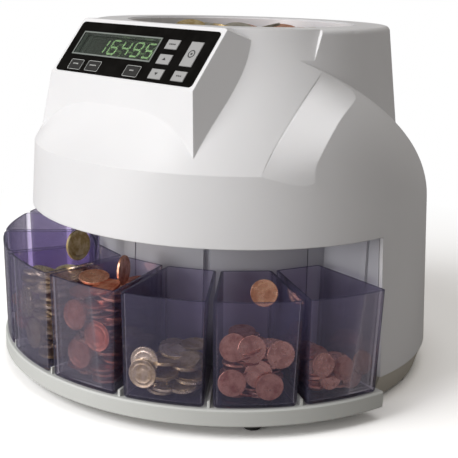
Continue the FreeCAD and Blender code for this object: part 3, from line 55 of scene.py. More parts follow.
# The cups, in millimetres and degrees: reaches are from the drum axis, heights from the floor.
CUP_COUNT = 8
CUP_PITCH = 20.2
CUP_WALL = 1.9
CUP_GAP = 1.6
CUP_BACK = 109.8
CUP_FRONT = 179.4
CUP_FLOOR = 22.9
CUP_TOP = 94.8
CUP_DRAFT = math.radians(1.1)


def linear(colour):
    """sRGB 0-255 to a linear colour with alpha 1."""
    out = []
    for part in colour:
        part = part / 255
        out.append(part / 12.92 if part <= 0.04045 else ((part + 0.055) / 1.055) ** 2.4)
    return (*out, 1)


def shade(colour, share):
    """A linear colour scaled in brightness."""
    return (*(part * share for part in colour[:3]), 1)


# ---------------------------------------------------------------- materials

NOISE_LOW, NOISE_HIGH = 0.3, 0.7  # nearly all of a noise texture lies in this band


class Nodes:
    """Small helper that wires shader nodes. Every texture is in object coordinates, metres."""

    def __init__(self, name):
        self.material = bpy.data.materials.new(name)
        self.material.use_nodes = True
        self.tree = self.material.node_tree
        self.tree.nodes.clear()
        self.out = self.add("ShaderNodeOutputMaterial")

    def add(self, kind, **values):
        node = self.tree.nodes.new(kind)
        for key, value in values.items():
            setattr(node, key, value)
        return node

    def link(self, source, target):
        self.tree.links.new(source, target)

    def place(self):
        return self.add("ShaderNodeTexCoord").outputs["Object"]

    def noise(self, scale, detail=3.0, rough=0.55, where=None):
        noise = self.add("ShaderNodeTexNoise")
        noise.inputs["Scale"].default_value = scale
        noise.inputs["Detail"].default_value = detail
        noise.inputs["Roughness"].default_value = rough
        self.link(where or self.place(), noise.inputs["Vector"])
        return noise.outputs["Fac"]

    def span(self, value, low, high, to_low, to_high):
        node = self.add("ShaderNodeMapRange")
        for socket, number in zip(("From Min", "From Max", "To Min", "To Max"),
                                  (low, high, to_low, to_high)):
            node.inputs[socket].default_value = number
        self.link(value, node.inputs["Value"])
        return node.outputs["Result"]

    def spread(self, value, to_low, to_high):
        """A noise value stretched to a range."""
        return self.span(value, NOISE_LOW, NOISE_HIGH, to_low, to_high)

    def mix(self, factor, first, second):
        """Blend of two colours; a Mix node in RGBA mode has them at inputs 6 and 7."""
        node = self.add("ShaderNodeMix", data_type="RGBA")
        self.link(factor, node.inputs[0])
        for socket, colour in ((6, first), (7, second)):
            if isinstance(colour, tuple):
                node.inputs[socket].default_value = colour
            else:
                self.link(colour, node.inputs[socket])
        return node.outputs[2]

    def maths(self, operation, first, second=0.0):
        node = self.add("ShaderNodeMath", operation=operation)
        for socket, value in zip(node.inputs, (first, second)):
            if isinstance(value, (int, float)):
                socket.default_value = value
            else:
                self.link(value, socket)
        return node.outputs[0]

    def bump(self, height, strength, distance, normal=None):
        node = self.add("ShaderNodeBump")
        node.inputs["Strength"].default_value = strength
        node.inputs["Distance"].default_value = distance
        self.link(height, node.inputs["Height"])
        if normal:
            self.link(normal, node.inputs["Normal"])
        return node.outputs["Normal"]

    def rounded(self, radius):
        """Normal that softens edges; the radius is in millimetres."""
        node = self.add("ShaderNodeBevel", samples=4)
        node.inputs["Radius"].default_value = radius * MM
        return node.outputs["Normal"]

    def principled(self, colour, rough, normal=None, **values):
        shader = self.add("ShaderNodeBsdfPrincipled")
        for socket, value in (("Base Color", colour), ("Roughness", rough)):
            if isinstance(value, (tuple, float, int)):
                shader.inputs[socket].default_value = value
            else:
                self.link(value, shader.inputs[socket])
        for key, value in values.items():
            shader.inputs[key.replace("_", " ")].default_value = value
        if normal:
            self.link(normal, shader.inputs["Normal"])
        return shader

    def finish(self, shader):
        self.link(shader.outputs[0], self.out.inputs["Surface"])
        return self.material


def plastic(name, colour, rough=0.42, grain=0.12, edge=0.8, drift=0.05, soft=0.0):
    """Moulded plastic: faint colour drift, fine spark-eroded grain, softened edges."""
    n = Nodes(name)
    base = linear(colour)
    tone = n.mix(n.span(n.noise(14, 2), 0.35, 0.65, 0, 1), shade(base, 1 - drift), base)
    roughness = n.spread(n.noise(60, 4), rough - 0.05, rough + 0.05)
    normal = n.bump(n.noise(2600, 2, 0.6), grain, 0.00008, n.rounded(edge))
    shader = n.principled(tone, roughness, normal)
    if soft:
        shader.inputs["Subsurface Weight"].default_value = soft
        shader.inputs["Subsurface Radius"].default_value = (0.004, 0.0035, 0.003)
        shader.inputs["Subsurface Scale"].default_value = 0.3
    return n.finish(shader)


def metal(name, colour, rough=0.3, grain=0.1, streak=(400, 400, 8), edge=0.3):
    """Brushed or turned metal with streaked roughness."""
    n = Nodes(name)
    stretch = n.add("ShaderNodeMapping")
    stretch.inputs["Scale"].default_value = streak
    n.link(n.place(), stretch.inputs["Vector"])
    lines = n.noise(1.0, 4, 0.6, stretch.outputs["Vector"])
    base = linear(colour)
    tone = n.mix(n.spread(lines, 0, 1), shade(base, 0.85), base)
    roughness = n.spread(lines, rough * 0.75, rough * 1.3)
    normal = n.bump(lines, grain, 0.0001, n.rounded(edge))
    return n.finish(n.principled(tone, roughness, normal, Metallic=1.0))


def rubber(name, colour, rough=0.7):
    """Dull rubber with pale dust in patches."""
    n = Nodes(name)
    base = linear(colour)
    dust = n.span(n.noise(180, 5, 0.7), 0.52, 0.7, 0, 0.25)
    tone = n.mix(dust, base, linear([min(c + 45, 255) for c in colour]))
    normal = n.bump(n.noise(1500, 4, 0.7), 0.3, 0.0001, n.rounded(0.5))
    return n.finish(n.principled(tone, rough, normal))


def board(name, colour):
    """Solder-masked circuit board with copper tracks showing through."""
    n = Nodes(name)
    tracks = n.add("ShaderNodeTexBrick")
    tracks.inputs["Scale"].default_value = 140
    tracks.inputs["Mortar Size"].default_value = 0.09
    tracks.inputs["Color1"].default_value = linear(colour)
    tracks.inputs["Color2"].default_value = shade(linear(colour), 0.8)
    tracks.inputs["Mortar"].default_value = linear([c + 26 for c in colour])
    n.link(n.place(), tracks.inputs["Vector"])
    normal = n.bump(tracks.outputs["Fac"], 0.25, 0.0001)
    return n.finish(n.principled(tracks.outputs["Color"], 0.32, normal))


RIM_FACING_UP = 0.85  # a face whose normal rises more than this is taken as a cut rim
RIM_DEPTH = 0.8       # share of the rim colour on such a face
CLEAR_SHADOW = (0.97, 0.965, 0.98, 1)


def clear_plastic(name, tint, rim, haze_tone, haze, edge_haze):
    """Tinted see-through plastic: deeper where seen edge-on, dark on the cut rims, polished.

    It hardly dims shadow rays, so what is inside or behind it stays lit.
    """
    n = Nodes(name)
    facing = n.add("ShaderNodeLayerWeight")
    facing.inputs["Blend"].default_value = 0.5
    split = n.add("ShaderNodeSeparateXYZ")
    n.link(n.add("ShaderNodeNewGeometry").outputs["True Normal"], split.inputs[0])
    top = n.maths("GREATER_THAN", split.outputs["Z"], RIM_FACING_UP)
    grazing = n.maths("POWER", facing.outputs["Facing"], 4.0)
    glass = n.add("ShaderNodeBsdfTransparent")
    depth = n.maths("MAXIMUM", grazing, n.maths("MULTIPLY", top, RIM_DEPTH))
    seen = n.mix(depth, linear(tint), linear(rim))
    shadow = n.add("ShaderNodeLightPath").outputs["Is Shadow Ray"]
    n.link(n.mix(shadow, seen, CLEAR_SHADOW), glass.inputs["Color"])
    normal = n.bump(n.noise(180, 2), 0.04, 0.0002)
    milky = n.principled(linear(haze_tone), n.spread(n.noise(30, 3), 0.3, 0.4), normal)
    amount = n.maths("ADD", haze, n.maths("MULTIPLY", grazing, edge_haze))
    amount = n.maths("MULTIPLY", amount, n.maths("SUBTRACT", 1.0, shadow))
    body = n.add("ShaderNodeMixShader")
    n.link(n.maths("MULTIPLY", amount, n.spread(n.noise(25, 3), 0.9, 1.0)), body.inputs[0])
    n.link(glass.outputs[0], body.inputs[1])
    n.link(milky.outputs[0], body.inputs[2])
    skin = n.add("ShaderNodeBsdfGlossy")
    skin.inputs["Roughness"].default_value = 0.06
    n.link(normal, skin.inputs["Normal"])
    fresnel = n.add("ShaderNodeFresnel")
    fresnel.inputs["IOR"].default_value = 1.45
    shiny = n.add("ShaderNodeMixShader")
    n.link(n.maths("MULTIPLY", fresnel.outputs[0], 0.7), shiny.inputs[0])
    n.link(body.outputs[0], shiny.inputs[1])
    n.link(skin.outputs[0], shiny.inputs[2])
    return n.finish(shiny)


def coin_metal(name, bright, worn, rough):
    """Coin alloy: tone varies coin by coin, with fine scratches and tarnish."""
    n = Nodes(name)
    tone = n.add("ShaderNodeAttribute", attribute_name="tone")
    patch = n.span(n.noise(160, 5, 0.65), 0.42, 0.68, 0, 0.6)
    age = n.maths("MINIMUM", n.maths("ADD", tone.outputs["Fac"], patch), 1.0)
    colour = n.mix(age, linear(bright), linear(worn))
    roughness = n.span(age, 0, 1, rough, rough + 0.22)
    relief = n.maths("ADD", n.noise(900, 3), n.maths("MULTIPLY", n.noise(2600, 2), 0.4))
    normal = n.bump(relief, 0.35, 0.00025, n.rounded(0.2))
    return n.finish(n.principled(colour, roughness, normal, Metallic=0.75))


def ink(name, colour, rough=0.5, glow=0.0):
    """Printed ink, or a lit display segment when it glows."""
    n = Nodes(name)
    base = linear(colour)
    tone = n.mix(n.spread(n.noise(300, 3), 0, 1), shade(base, 0.9), base)
    shader = n.principled(tone, rough, n.bump(n.noise(3000, 2), 0.08, 0.00005))
    if glow:
        shader.inputs["Emission Color"].default_value = base
        shader.inputs["Emission Strength"].default_value = glow
    return n.finish(shader)


def film(name, colour):
    """Gloss printed film with a faint orange peel."""
    n = Nodes(name)
    base = linear(colour)
    tone = n.mix(n.span(n.noise(90, 4), 0.35, 0.65, 0, 1), base,
                 linear([c + 7 for c in colour]))
    normal = n.bump(n.noise(700, 2), 0.06, 0.0001, n.rounded(0.3))
    return n.finish(n.principled(tone, n.spread(n.noise(40, 3), 0.3, 0.4), normal,
                                 Specular_IOR_Level=0.0))


def display_face(name, left, right):
    """Display backing, paler to the left where it catches the light."""
    low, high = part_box("display_window")
    n = Nodes(name)
    split = n.add("ShaderNodeSeparateXYZ")
    n.link(n.place(), split.inputs[0])
    width = high.x - low.x
    share = n.span(split.outputs["X"], low.x + 0.02 * width, low.x + 0.5 * width, 0, 1)
    colour = n.mix(share, linear(left), linear(right))
    dots = n.add("ShaderNodeTexVoronoi")
    dots.inputs["Scale"].default_value = 1400
    n.link(n.place(), dots.inputs["Vector"])
    shader = n.principled(colour, 0.3, n.bump(dots.outputs["Distance"], 0.1, 0.00005))
    return n.finish(shader)


MATERIALS = {
    "housing": plastic("housing_plastic", (231, 231, 233), 0.44, 0.10, 1.1, 0.025, 0.06),
    "base_grey": plastic("base_plastic", (206, 201, 190), 0.6, 0.2, 0.6),
    "tray_grey": plastic("tray_plastic", (205, 207, 204), 0.45, 0.12, 0.6, 0.03),
    "drum_grey": plastic("drum_plastic", (198, 199, 206), 0.4, 0.1, 0.5, 0.04),
    "foot_rubber": rubber("foot_rubber_mat", (38, 38, 38)),
    "smoke_clear": clear_plastic("smoke_plastic", (247, 244, 252), (60, 56, 104),
                                 (170, 166, 212), 0.05, 0.2),
    "bowl_white": plastic("bowl_plastic", (224, 224, 228), 0.3, 0.05, 0.5, 0.03),
    "overlay_black": film("overlay_film", (17, 16, 15)),
    "window_clear": clear_plastic("window_plastic", (225, 232, 226), (120, 130, 124),
                                  (60, 66, 62), 0.02, 0.02),
    "trim_light": plastic("trim_plastic", (128, 134, 130), 0.3, 0.05, 0.2),
    "key_grey": plastic("key_grey_plastic", (160, 160, 160), 0.5, 0.15, 0.4),
    "key_black": plastic("key_black_plastic", (20, 19, 18), 0.6, 0.15, 0.4),
    "module_dark": display_face("display_backing", (92, 100, 96), (20, 34, 24)),
    "board_green": board("board_mask", (26, 84, 52)),
    "steel": metal("brushed_steel_mat", (150, 151, 154), 0.32),
    "aluminium": metal("turned_aluminium", (190, 192, 196), 0.28, 0.08, (60, 60, 900)),
    "zinc_screw": metal("zinc_plate", (196, 198, 200), 0.25, 0.05, (300, 300, 300)),
    "gear_white": plastic("gear_plastic", (226, 222, 208), 0.4, 0.08, 0.2),
    "brass": metal("brass_mat", (190, 156, 92), 0.25, 0.05, (500, 500, 500)),
    "connector_black": plastic("connector_plastic", (30, 30, 30), 0.5, 0.2, 0.4),
    "sensor_black": plastic("sensor_plastic", (34, 34, 36), 0.45, 0.15, 0.3),
    "cable_sleeve": rubber("cable_sleeve_mat", (34, 34, 36), 0.55),
    "cap_grey": plastic("cap_plastic", (120, 121, 126), 0.35, 0.08, 0.4),
}
COPPER = coin_metal("coin_copper", (252, 196, 164), (168, 88, 62), 0.22)
GOLD = coin_metal("coin_gold", (252, 240, 204), (176, 152, 100), 0.2)
SILVER = coin_metal("coin_silver", (206, 202, 190), (138, 132, 120), 0.28)
INK_LIGHT = ink("ink_light", (178, 180, 178))
INK_DARK = ink("ink_dark", (36, 36, 36))
GLOW = ink("segment_glow", (188, 224, 164), 0.5, 1.7)


def dress_nodes():
    """Give each CAD node the procedural material of its record slot."""
    slots = {part["node"]: part["material_slot"] for part in frame["record"]["subparts"]}
    for name, thing in NODES.items():
        material = MATERIALS[slots[name]]
        if not thing.material_slots:
            thing.data.materials.append(material)
        for slot in thing.material_slots:
            slot.link = "OBJECT"
            slot.material = material


# ---------------------------------------------------------------- mesh helpers

def piece(name, mesh, body, material, smooth=None):
    """New visible piece that rides on a CAD body."""
    data = bpy.data.meshes.new(name)
    mesh.to_mesh(data)
    mesh.free()
    thing = bpy.data.objects.new(name, data)
    bpy.context.scene.collection.objects.link(thing)
    data.materials.append(material)
    if smooth is not None:
        data.polygons.foreach_set("use_smooth", [True] * len(data.polygons))
        data.set_sharp_from_angle(angle=math.radians(smooth))
    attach(thing, body)
    return thing


def add_plate(mesh, points, low, high):
    """Prism over a closed outline in the panel frame, millimetres."""
    rows = [[mesh.verts.new(PANEL @ (Vector((x, y, z)) * MM)) for x, y in points]
            for z in (low, high)]
    mesh.faces.new(list(reversed(rows[0])))
    mesh.faces.new(rows[1])
    for k in range(len(points)):
        following = (k + 1) % len(points)
        mesh.faces.new((rows[0][k], rows[0][following], rows[1][following], rows[1][k]))


def add_frame(mesh, outer, inner, low, high):
    """Closed band between two outlines with the same number of points."""
    rings = [[mesh.verts.new(PANEL @ (Vector((x, y, z)) * MM)) for x, y in points]
             for points, z in ((outer, low), (outer, high), (inner, high), (inner, low))]
    count = len(outer)
    for a, b in zip(rings, rings[1:] + rings[:1]):
        for k in range(count):
            following = (k + 1) % count
            mesh.faces.new((a[k], a[following], b[following], b[k]))


def rounded_rectangle(u, v, width, height, radius, steps=4):
    points = []
    for corner, (sx, sy) in enumerate(((1, 1), (-1, 1), (-1, -1), (1, -1))):
        cx, cy = u + sx * (width / 2 - radius), v + sy * (height / 2 - radius)
        for step in range(steps + 1):
            turn = math.radians(90 * (corner + step / steps))
            points.append((cx + radius * math.cos(turn), cy + radius * math.sin(turn)))
    return points


def disc_outline(u, v, radius, steps=28):
    return [(u + radius * math.cos(2 * math.pi * k / steps),
             v + radius * math.sin(2 * math.pi * k / steps)) for k in range(steps)]


# ---------------------------------------------------------------- console graphics

# Millimetres in the panel's own frame: z is the height above the panel's face.
KEY_TOP = 1.0
OVERLAY_TOP = 0.6
INK_THICK = 0.06
KEY_INK = (KEY_TOP, KEY_TOP + INK_THICK)
TOP_LAYER = 0.7           # depth of the layer at a node's top whose outline is its size

DISPLAY_NUMBER = "16495"
SEGMENTS = {"1": "bc", "4": "fgbc", "5": "afgcd", "6": "afgedc", "9": "abcdfg"}
DIGIT_PITCH = 0.15        # of the window's width
DIGIT_END = 0.4           # the last digit's place, of the window's width
DIGIT_WIDTH = 0.62        # of the pitch
DIGIT_HEIGHT = 0.64       # of the window's height
DIGIT_SLANT = 0.12
SEGMENT_THICK = 1.45
SEGMENT_GAP = 0.25
DIGIT_LAYER = (-1.58, -1.53)

# The marks on the keys: how many small squares, and (pitch, width, height, rise) for each kind
WIDE_MARK = (1.7, 1.15, 1.1, 0)
SMALL_MARK = (1.5, 1.0, 1.0, 0.4)
GREY_KEY_SQUARES = {"key_mode": 4, "key_enter": 3}
BLACK_KEY_SQUARES = {"key_print": 4, "key_clear": 5, "key_total": 3}


def panel_spot(node):
    """Centre and size of a node on the panel, in the panel's own millimetres."""
    back = PANEL.inverted()
    spots = [back @ vertex.co / MM for vertex in NODES[node].data.vertices]
    high = max(spot.z for spot in spots)
    rim = [spot for spot in spots if spot.z > high - TOP_LAYER]
    left, right = min(s.x for s in rim), max(s.x for s in rim)
    low, top = min(s.y for s in rim), max(s.y for s in rim)
    return (left + right) / 2, (low + top) / 2, right - left, top - low


def segment_outline(which, u, v, width, height):
    """Hexagonal bar of a seven-segment digit, slanted like the display."""
    half_w, half_h, gap, t = width / 2, height / 2, SEGMENT_GAP, SEGMENT_THICK / 2
    rows = {"a": half_h, "g": 0, "d": -half_h}
    if which in rows:
        y = rows[which]
        points = [(-half_w + gap, y), (-half_w + gap + t, y + t), (half_w - gap - t, y + t),
                  (half_w - gap, y), (half_w - gap - t, y - t), (-half_w + gap + t, y - t)]
    else:
        x = half_w if which in "bc" else -half_w
        low, high = (0, half_h) if which in "bf" else (-half_h, 0)
        points = [(x, low + gap), (x + t, low + gap + t), (x + t, high - gap - t),
                  (x, high - gap), (x - t, high - gap - t), (x - t, low + gap + t)]
    return [(u + x + DIGIT_SLANT * y, v + y) for x, y in points][::-1]


def make_digits():
    u, v, width, height = panel_spot("display_window")
    mesh = bmesh.new()
    pitch = width * DIGIT_PITCH
    start = u + width * DIGIT_END - pitch * (len(DISPLAY_NUMBER) - 1)
    for place, digit in enumerate(DISPLAY_NUMBER):
        for which in SEGMENTS[digit]:
            outline = segment_outline(which, start + place * pitch, v, pitch * DIGIT_WIDTH,
                                      height * DIGIT_HEIGHT)
            add_plate(mesh, outline, *DIGIT_LAYER)
    piece("display_digits", mesh, "frame", GLOW)


def arrow(u, v, size, up):
    """Triangle outline that points up or down."""
    sign = 1 if up else -1
    points = [(u - size, v - sign * size * 0.55), (u + size, v - sign * size * 0.55),
              (u, v + sign * size * 0.75)]
    return points if up else points[::-1]


def make_squares(name, count, layout, material):
    """A row of small squares in place of the lettering on a key."""
    u, v = panel_spot(name)[:2]
    pitch, width, height, rise = layout
    mesh = bmesh.new()
    for place in range(count):
        x = u + (place - (count - 1) / 2) * pitch
        add_plate(mesh, rounded_rectangle(x, v + rise, width, height, 0.2, 2), *KEY_INK)
    piece(name + "_mark", mesh, name + "_body", material)


def make_key_icons():
    """Generic pictograms on the key caps; no lettering."""
    for name in ("key_up", "key_down"):
        u, v = panel_spot(name)[:2]
        mesh = bmesh.new()
        add_plate(mesh, arrow(u, v, 1.7, name == "key_up"), *KEY_INK)
        piece(name + "_arrow", mesh, name + "_body", INK_DARK)
    u, v = panel_spot("key_start_stop")[:2]
    mesh = bmesh.new()
    add_frame(mesh, disc_outline(u, v, 3.1), disc_outline(u, v, 2.3), *KEY_INK)
    add_plate(mesh, disc_outline(u, v, 0.9, 14), *KEY_INK)
    piece("key_start_stop_ring", mesh, "key_start_stop_body", INK_DARK)
    for name, count in GREY_KEY_SQUARES.items():
        make_squares(name, count, WIDE_MARK, INK_DARK)
    for name, count in BLACK_KEY_SQUARES.items():
        make_squares(name, count, SMALL_MARK, INK_LIGHT)


def make_key_outlines():
    """Thin printed border round each of the black keys."""
    for name in BLACK_KEY_SQUARES:
        u, v, width, height = panel_spot(name)
        mesh = bmesh.new()
        add_frame(mesh, rounded_rectangle(u, v, width + 1.5, height + 1.5, 1.0),
                  rounded_rectangle(u, v, width + 0.7, height + 0.7, 0.6), OVERLAY_TOP,
                  OVERLAY_TOP + INK_THICK)
        piece(name + "_border", mesh, "frame", INK_LIGHT)


# ---------------------------------------------------------------- coins

COIN_SIDES = 36
COIN_REEDING = 0.012      # depth of the notches on the edge, of the radius
COIN_FIELD = 0.14         # how far the field lies below the rim, millimetres


def add_coin(mesh, tone_layer, place, radius, thick, tone):
    """Blank coin: raised rim, plain ring relief, reeded edge."""
    half = thick / 2
    face = half - COIN_FIELD
    profile = [(0.30, face + 0.05), (0.34, face), (0.62, face), (0.64, face + 0.06),
               (0.68, face + 0.06), (0.70, face), (0.87, face), (0.90, half), (0.975, half),
               (1.0, half - 0.15)]  # (share of the radius, height), from the middle outwards
    rings = []
    for share, height in profile + [(s, -z) for s, z in reversed(profile)]:
        edge = share > 0.99
        ring = []
        for side in range(COIN_SIDES):
            turn = 2 * math.pi * side / COIN_SIDES
            reach = radius * share * (1 - COIN_REEDING * (side % 2 if edge else 0))
            spot = Vector((reach * math.cos(turn), reach * math.sin(turn), height))
            ring.append(mesh.verts.new(place @ spot * MM))
        rings.append(ring)
    for a, b in zip(rings, rings[1:]):
        for k in range(COIN_SIDES):
            following = (k + 1) % COIN_SIDES
            mesh.faces.new((a[k], b[k], b[following], a[following]))
    mesh.faces.new(rings[0])
    mesh.faces.new(list(reversed(rings[-1])))
    for ring in rings:
        for vertex in ring:
            vertex[tone_layer] = tone


WEAR_BIAS, MOST_WEAR = 1.4, 0.85


def coin_batch(name, body, places, material):
    """One piece holding several coins; places are (matrix, radius, thickness)."""
    draw = random.Random(name)
    mesh = bmesh.new()
    tone = mesh.verts.layers.float.new("tone")
    for place, radius, thick in places:
        wear = draw.random() ** WEAR_BIAS * MOST_WEAR
        add_coin(mesh, tone, place, radius, thick, wear)
    return piece(name, mesh, body, material, 35)


def flat_coin(x, y, z, tilt, heading, spin):
    """Coin lying nearly level, tipped by tilt towards heading (degrees)."""
    return (Matrix.Translation((x, y, z))
            @ Matrix.Rotation(math.radians(heading), 4, "Z")
            @ Matrix.Rotation(math.radians(tilt), 4, "Y")
            @ Matrix.Rotation(math.radians(spin), 4, "Z"))


def lean(height):
    """How far a cup's walls have closed in at a height, from their draft."""
    return (CUP_TOP - height) * math.tan(CUP_DRAFT)


def room(x, y, height, radius):
    """Free distance between a coin of that radius and the walls of a cup drawn about +X."""
    inset = CUP_WALL + lean(height)
    half = math.radians(CUP_PITCH / 2)
    return min(x - CUP_BACK - inset - radius, CUP_FRONT - inset - math.hypot(x, y) - radius,
               x * math.sin(half) - abs(y) * math.cos(half) - CUP_GAP - inset - radius)


def cup_place(number):
    """Turn from a cup drawn about +X to its place in the fan."""
    azimuth = CUP_PITCH * (number - (CUP_COUNT + 1) / 2)
    return (Matrix.Translation((0, AXIS_Y / MM, 0))
            @ Matrix.Rotation(math.radians(azimuth - 90), 4, "Z"))


PILE_TRIES = 60           # spots tried in each layer of a cup
PILE_WIDTH = 22           # half the width searched, millimetres
PILE_OVERLAP = 0.86       # closest centres in a layer, of the coin's diameter
PILE_RISE = 1.12          # height of a layer, of the coin's thickness
PILE_TOP = 12             # depth of the looser coins on top, millimetres
COIN_PLAY = 0.4


def pile(draw, top, radius, thick):
    """Loose layers of coins up to a height, inside a cup drawn about +X."""
    places, height = [], CUP_FLOOR + thick
    while height < top:
        layer = []
        for _ in range(PILE_TRIES):
            x = draw.uniform(CUP_BACK + radius, CUP_FRONT - radius)
            y = draw.uniform(-PILE_WIDTH, PILE_WIDTH)
            if room(x, y, height, radius + COIN_PLAY) < 0:
                continue
            if any(math.hypot(x - a, y - b) < 2 * radius * PILE_OVERLAP for a, b in layer):
                continue
            layer.append((x, y))
            near_top = max(0.0, 1 - (top - height) / PILE_TOP)
            tilt = draw.uniform(0, 5 + 16 * near_top)
            place = flat_coin(x, y, height + draw.uniform(0, thick * 0.8), tilt,
                              draw.uniform(0, 360), draw.uniform(0, 360))
            places.append((place, radius, thick))
        height += thick * PILE_RISE
    return places


WALL_ROW = 1.2            # depth of a row against the wall, of the coin's thickness
WALL_PLAY = 0.3


def wall_coins(spots, radius, thick):
    """Coins with their faces against the front wall: (across, height, slope, rows behind)."""
    places = []
    for across, height, slope, behind in spots:
        reach = CUP_FRONT - CUP_WALL - lean(height - radius) - thick * (0.5 + WALL_ROW * behind)
        sag = radius ** 2 / (2 * CUP_FRONT)
        reach -= sag + radius * math.sin(math.radians(slope)) + WALL_PLAY
        heading = math.degrees(math.asin(across / reach))
        place = (Matrix.Rotation(math.radians(heading), 4, "Z")
                 @ Matrix.Translation((reach, 0, height))
                 @ Matrix.Rotation(math.radians(90 - slope), 4, "Y"))
        places.append((place, radius, thick))
    return places


CUP_FILLS = {
    # cup: (material, coin radius, thickness, pile height, coins against the front wall)
    8: (COPPER, 8.2, 1.7, 40, [(-15, 47, 10, 0), (1, 42, 12, 0), (17, 43, 14, 0),
                               (-8, 36, 5, 1), (9, 34, 4, 1)]),
    7: (COPPER, 9.4, 1.7, 58, [(-15.9, 38, 3, 0), (9, 35, 3, 0), (1.6, 43, 8, 1),
                               (15.8, 57, 8, 0), (-3, 60, 14, 1), (-15, 61, 18, 1)]),
    6: (GOLD, 9.9, 1.9, 44, [(-14.6, 39, 3, 0), (-14, 47, 5, 1)]),
    5: (COPPER, 10.6, 1.7, 85, [(-7.7, 70, 5, 0), (12, 59, 4, 0), (-4, 43, 3, 0)]),
    4: (GOLD, 11.1, 2.1, 84, [(-9, 62, 4, 0), (3, 42, 3, 0)]),
    3: (COPPER, 9.4, 1.7, 52, []),
    2: (GOLD, 9.9, 1.9, 44, []),
    1: (GOLD, 11.1, 2.1, 30, []),
}
EXTRA_COINS = {
    # cup: coins dropping in or resting high, (x, y, z, tilt, heading)
    7: [(139.9, 8.6, 88.3, 75, -6)],
    5: [(139.9, 6.3, 96, 88, 108), (152, -10, 91, 10, 40), (160, 7, 89, 16, -30)],
    4: [(139.8, 7, 104.3, 85, 107)],
}


CUP_SEED = 40


def make_cup_coins():
    """Fill each cup; the coins ride with it."""
    for number, (metal_kind, radius, thick, top, spots) in CUP_FILLS.items():
        draw = random.Random(CUP_SEED + number)
        loose = [(flat_coin(x, y, z, tilt, heading, 0), radius, thick)
                 for x, y, z, tilt, heading in EXTRA_COINS.get(number, [])]
        places = pile(draw, top, radius, thick) + wall_coins(spots, radius, thick) + loose
        places = [(cup_place(number) @ place, r, t) for place, r, t in places]
        coin_batch("cup_%d_coins" % number, "cup_body_%d" % number, places, metal_kind)


HOPPER_KINDS = (
    # (label, material, coin radius, thickness)
    ("gold", GOLD, 12.0, 2.1),
    ("copper", COPPER, 10.6, 1.7),
    ("silver", SILVER, 11.5, 1.9),
)
HOPPER_SEED = 7
HOPPER_REACH = 82         # radius that the heap keeps within, millimetres
HOPPER_PLAY = 2
HOPPER_LEVELS = 4         # layers of coins that are modelled, from the top down
HOPPER_TRIES = 700
HOPPER_OVERLAP = 0.74     # closest centres, of the two radii together
HOPPER_CROWN = 256.5      # height of the heap's middle
HOPPER_STEP = 3.2         # from one layer to the next
HOPPER_DOME = 4           # how much lower the heap is at the wall
HOPPER_LOOSE = 1.2
HOPPER_TILTS = (24, 12, 12, 12)


def make_hopper_coins():
    """Heaped mixed coins filling the hopper to just under its rim."""
    low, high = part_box("hopper_bowl")
    centre_y = (low.y + high.y) / 2 / MM
    batches = {kind[0]: [] for kind in HOPPER_KINDS}
    draw = random.Random(HOPPER_SEED)
    for level in range(HOPPER_LEVELS):
        taken = []
        for _ in range(HOPPER_TRIES):
            label, _, radius, thick = draw.choice(HOPPER_KINDS)
            away = math.sqrt(draw.random()) * (HOPPER_REACH - radius - HOPPER_PLAY)
            turn = draw.uniform(0, 2 * math.pi)
            x, y = away * math.cos(turn), away * math.sin(turn)
            if any(math.hypot(x - a, y - b) < (radius + r) * HOPPER_OVERLAP
                   for a, b, r in taken):
                continue
            taken.append((x, y, radius))
            dome = HOPPER_DOME * (away / HOPPER_REACH) ** 2
            height = HOPPER_CROWN - HOPPER_STEP * level - dome
            tilt = draw.uniform(0, HOPPER_TILTS[level])
            height += draw.uniform(-HOPPER_LOOSE, HOPPER_LOOSE)
            place = flat_coin(x, y + centre_y, height, tilt, draw.uniform(0, 360),
                              draw.uniform(0, 360))
            batches[label].append((place, radius, thick))
    for label, material, _, _ in HOPPER_KINDS:
        coin_batch("hopper_coins_" + label, "frame", batches[label], material)


# ---------------------------------------------------------------- stage, light and camera

FLOOR_REACH = 12
FLOOR_FADE = (0.26, 0.62)  # distances from the middle between which the floor turns white
FLOOR_SEEN = ((1.5, 1.5, 1.5, 1), (1.55, 1.55, 1.55, 1))
FLOOR_BOUNCE = (0.42, 0.41, 0.4, 1)
SWEEP_BOUNCE = (0.3, 0.29, 0.28, 1)
WHITE = (1, 1, 1, 1)


def make_floor():
    """Pale paper sweep: lit near the object, fading to the white backdrop further out.

    It is darker to reflections and bounced light than to the camera, so the object keeps
    its shading on the white floor.
    """
    mesh = bmesh.new()
    mesh.faces.new([mesh.verts.new((x * FLOOR_REACH, y * FLOOR_REACH, 0))
                    for x, y in ((-1, -1), (1, -1), (1, 1), (-1, 1))])
    data = bpy.data.meshes.new("floor")
    mesh.to_mesh(data)
    mesh.free()
    floor = bpy.data.objects.new("floor", data)
    bpy.context.scene.collection.objects.link(floor)
    n = Nodes("floor_paper")
    path = n.add("ShaderNodeLightPath")
    distance = n.add("ShaderNodeVectorMath", operation="LENGTH")
    n.link(n.place(), distance.inputs[0])
    far = n.span(distance.outputs["Value"], *FLOOR_FADE, 0, 1)
    grain = n.mix(n.spread(n.noise(400, 3), 0, 1), *FLOOR_SEEN)
    tone = n.mix(path.outputs["Is Camera Ray"], FLOOR_BOUNCE, grain)
    paper = n.add("ShaderNodeBsdfDiffuse")
    n.link(tone, paper.inputs["Color"])
    glow = n.add("ShaderNodeEmission")
    seen = n.mix(path.outputs["Is Camera Ray"], SWEEP_BOUNCE, WHITE)
    n.link(seen, glow.inputs["Color"])
    fade = n.add("ShaderNodeMixShader")
    n.link(far, fade.inputs[0])
    n.link(paper.outputs[0], fade.inputs[1])
    n.link(glow.outputs[0], fade.inputs[2])
    data.materials.append(n.finish(fade))


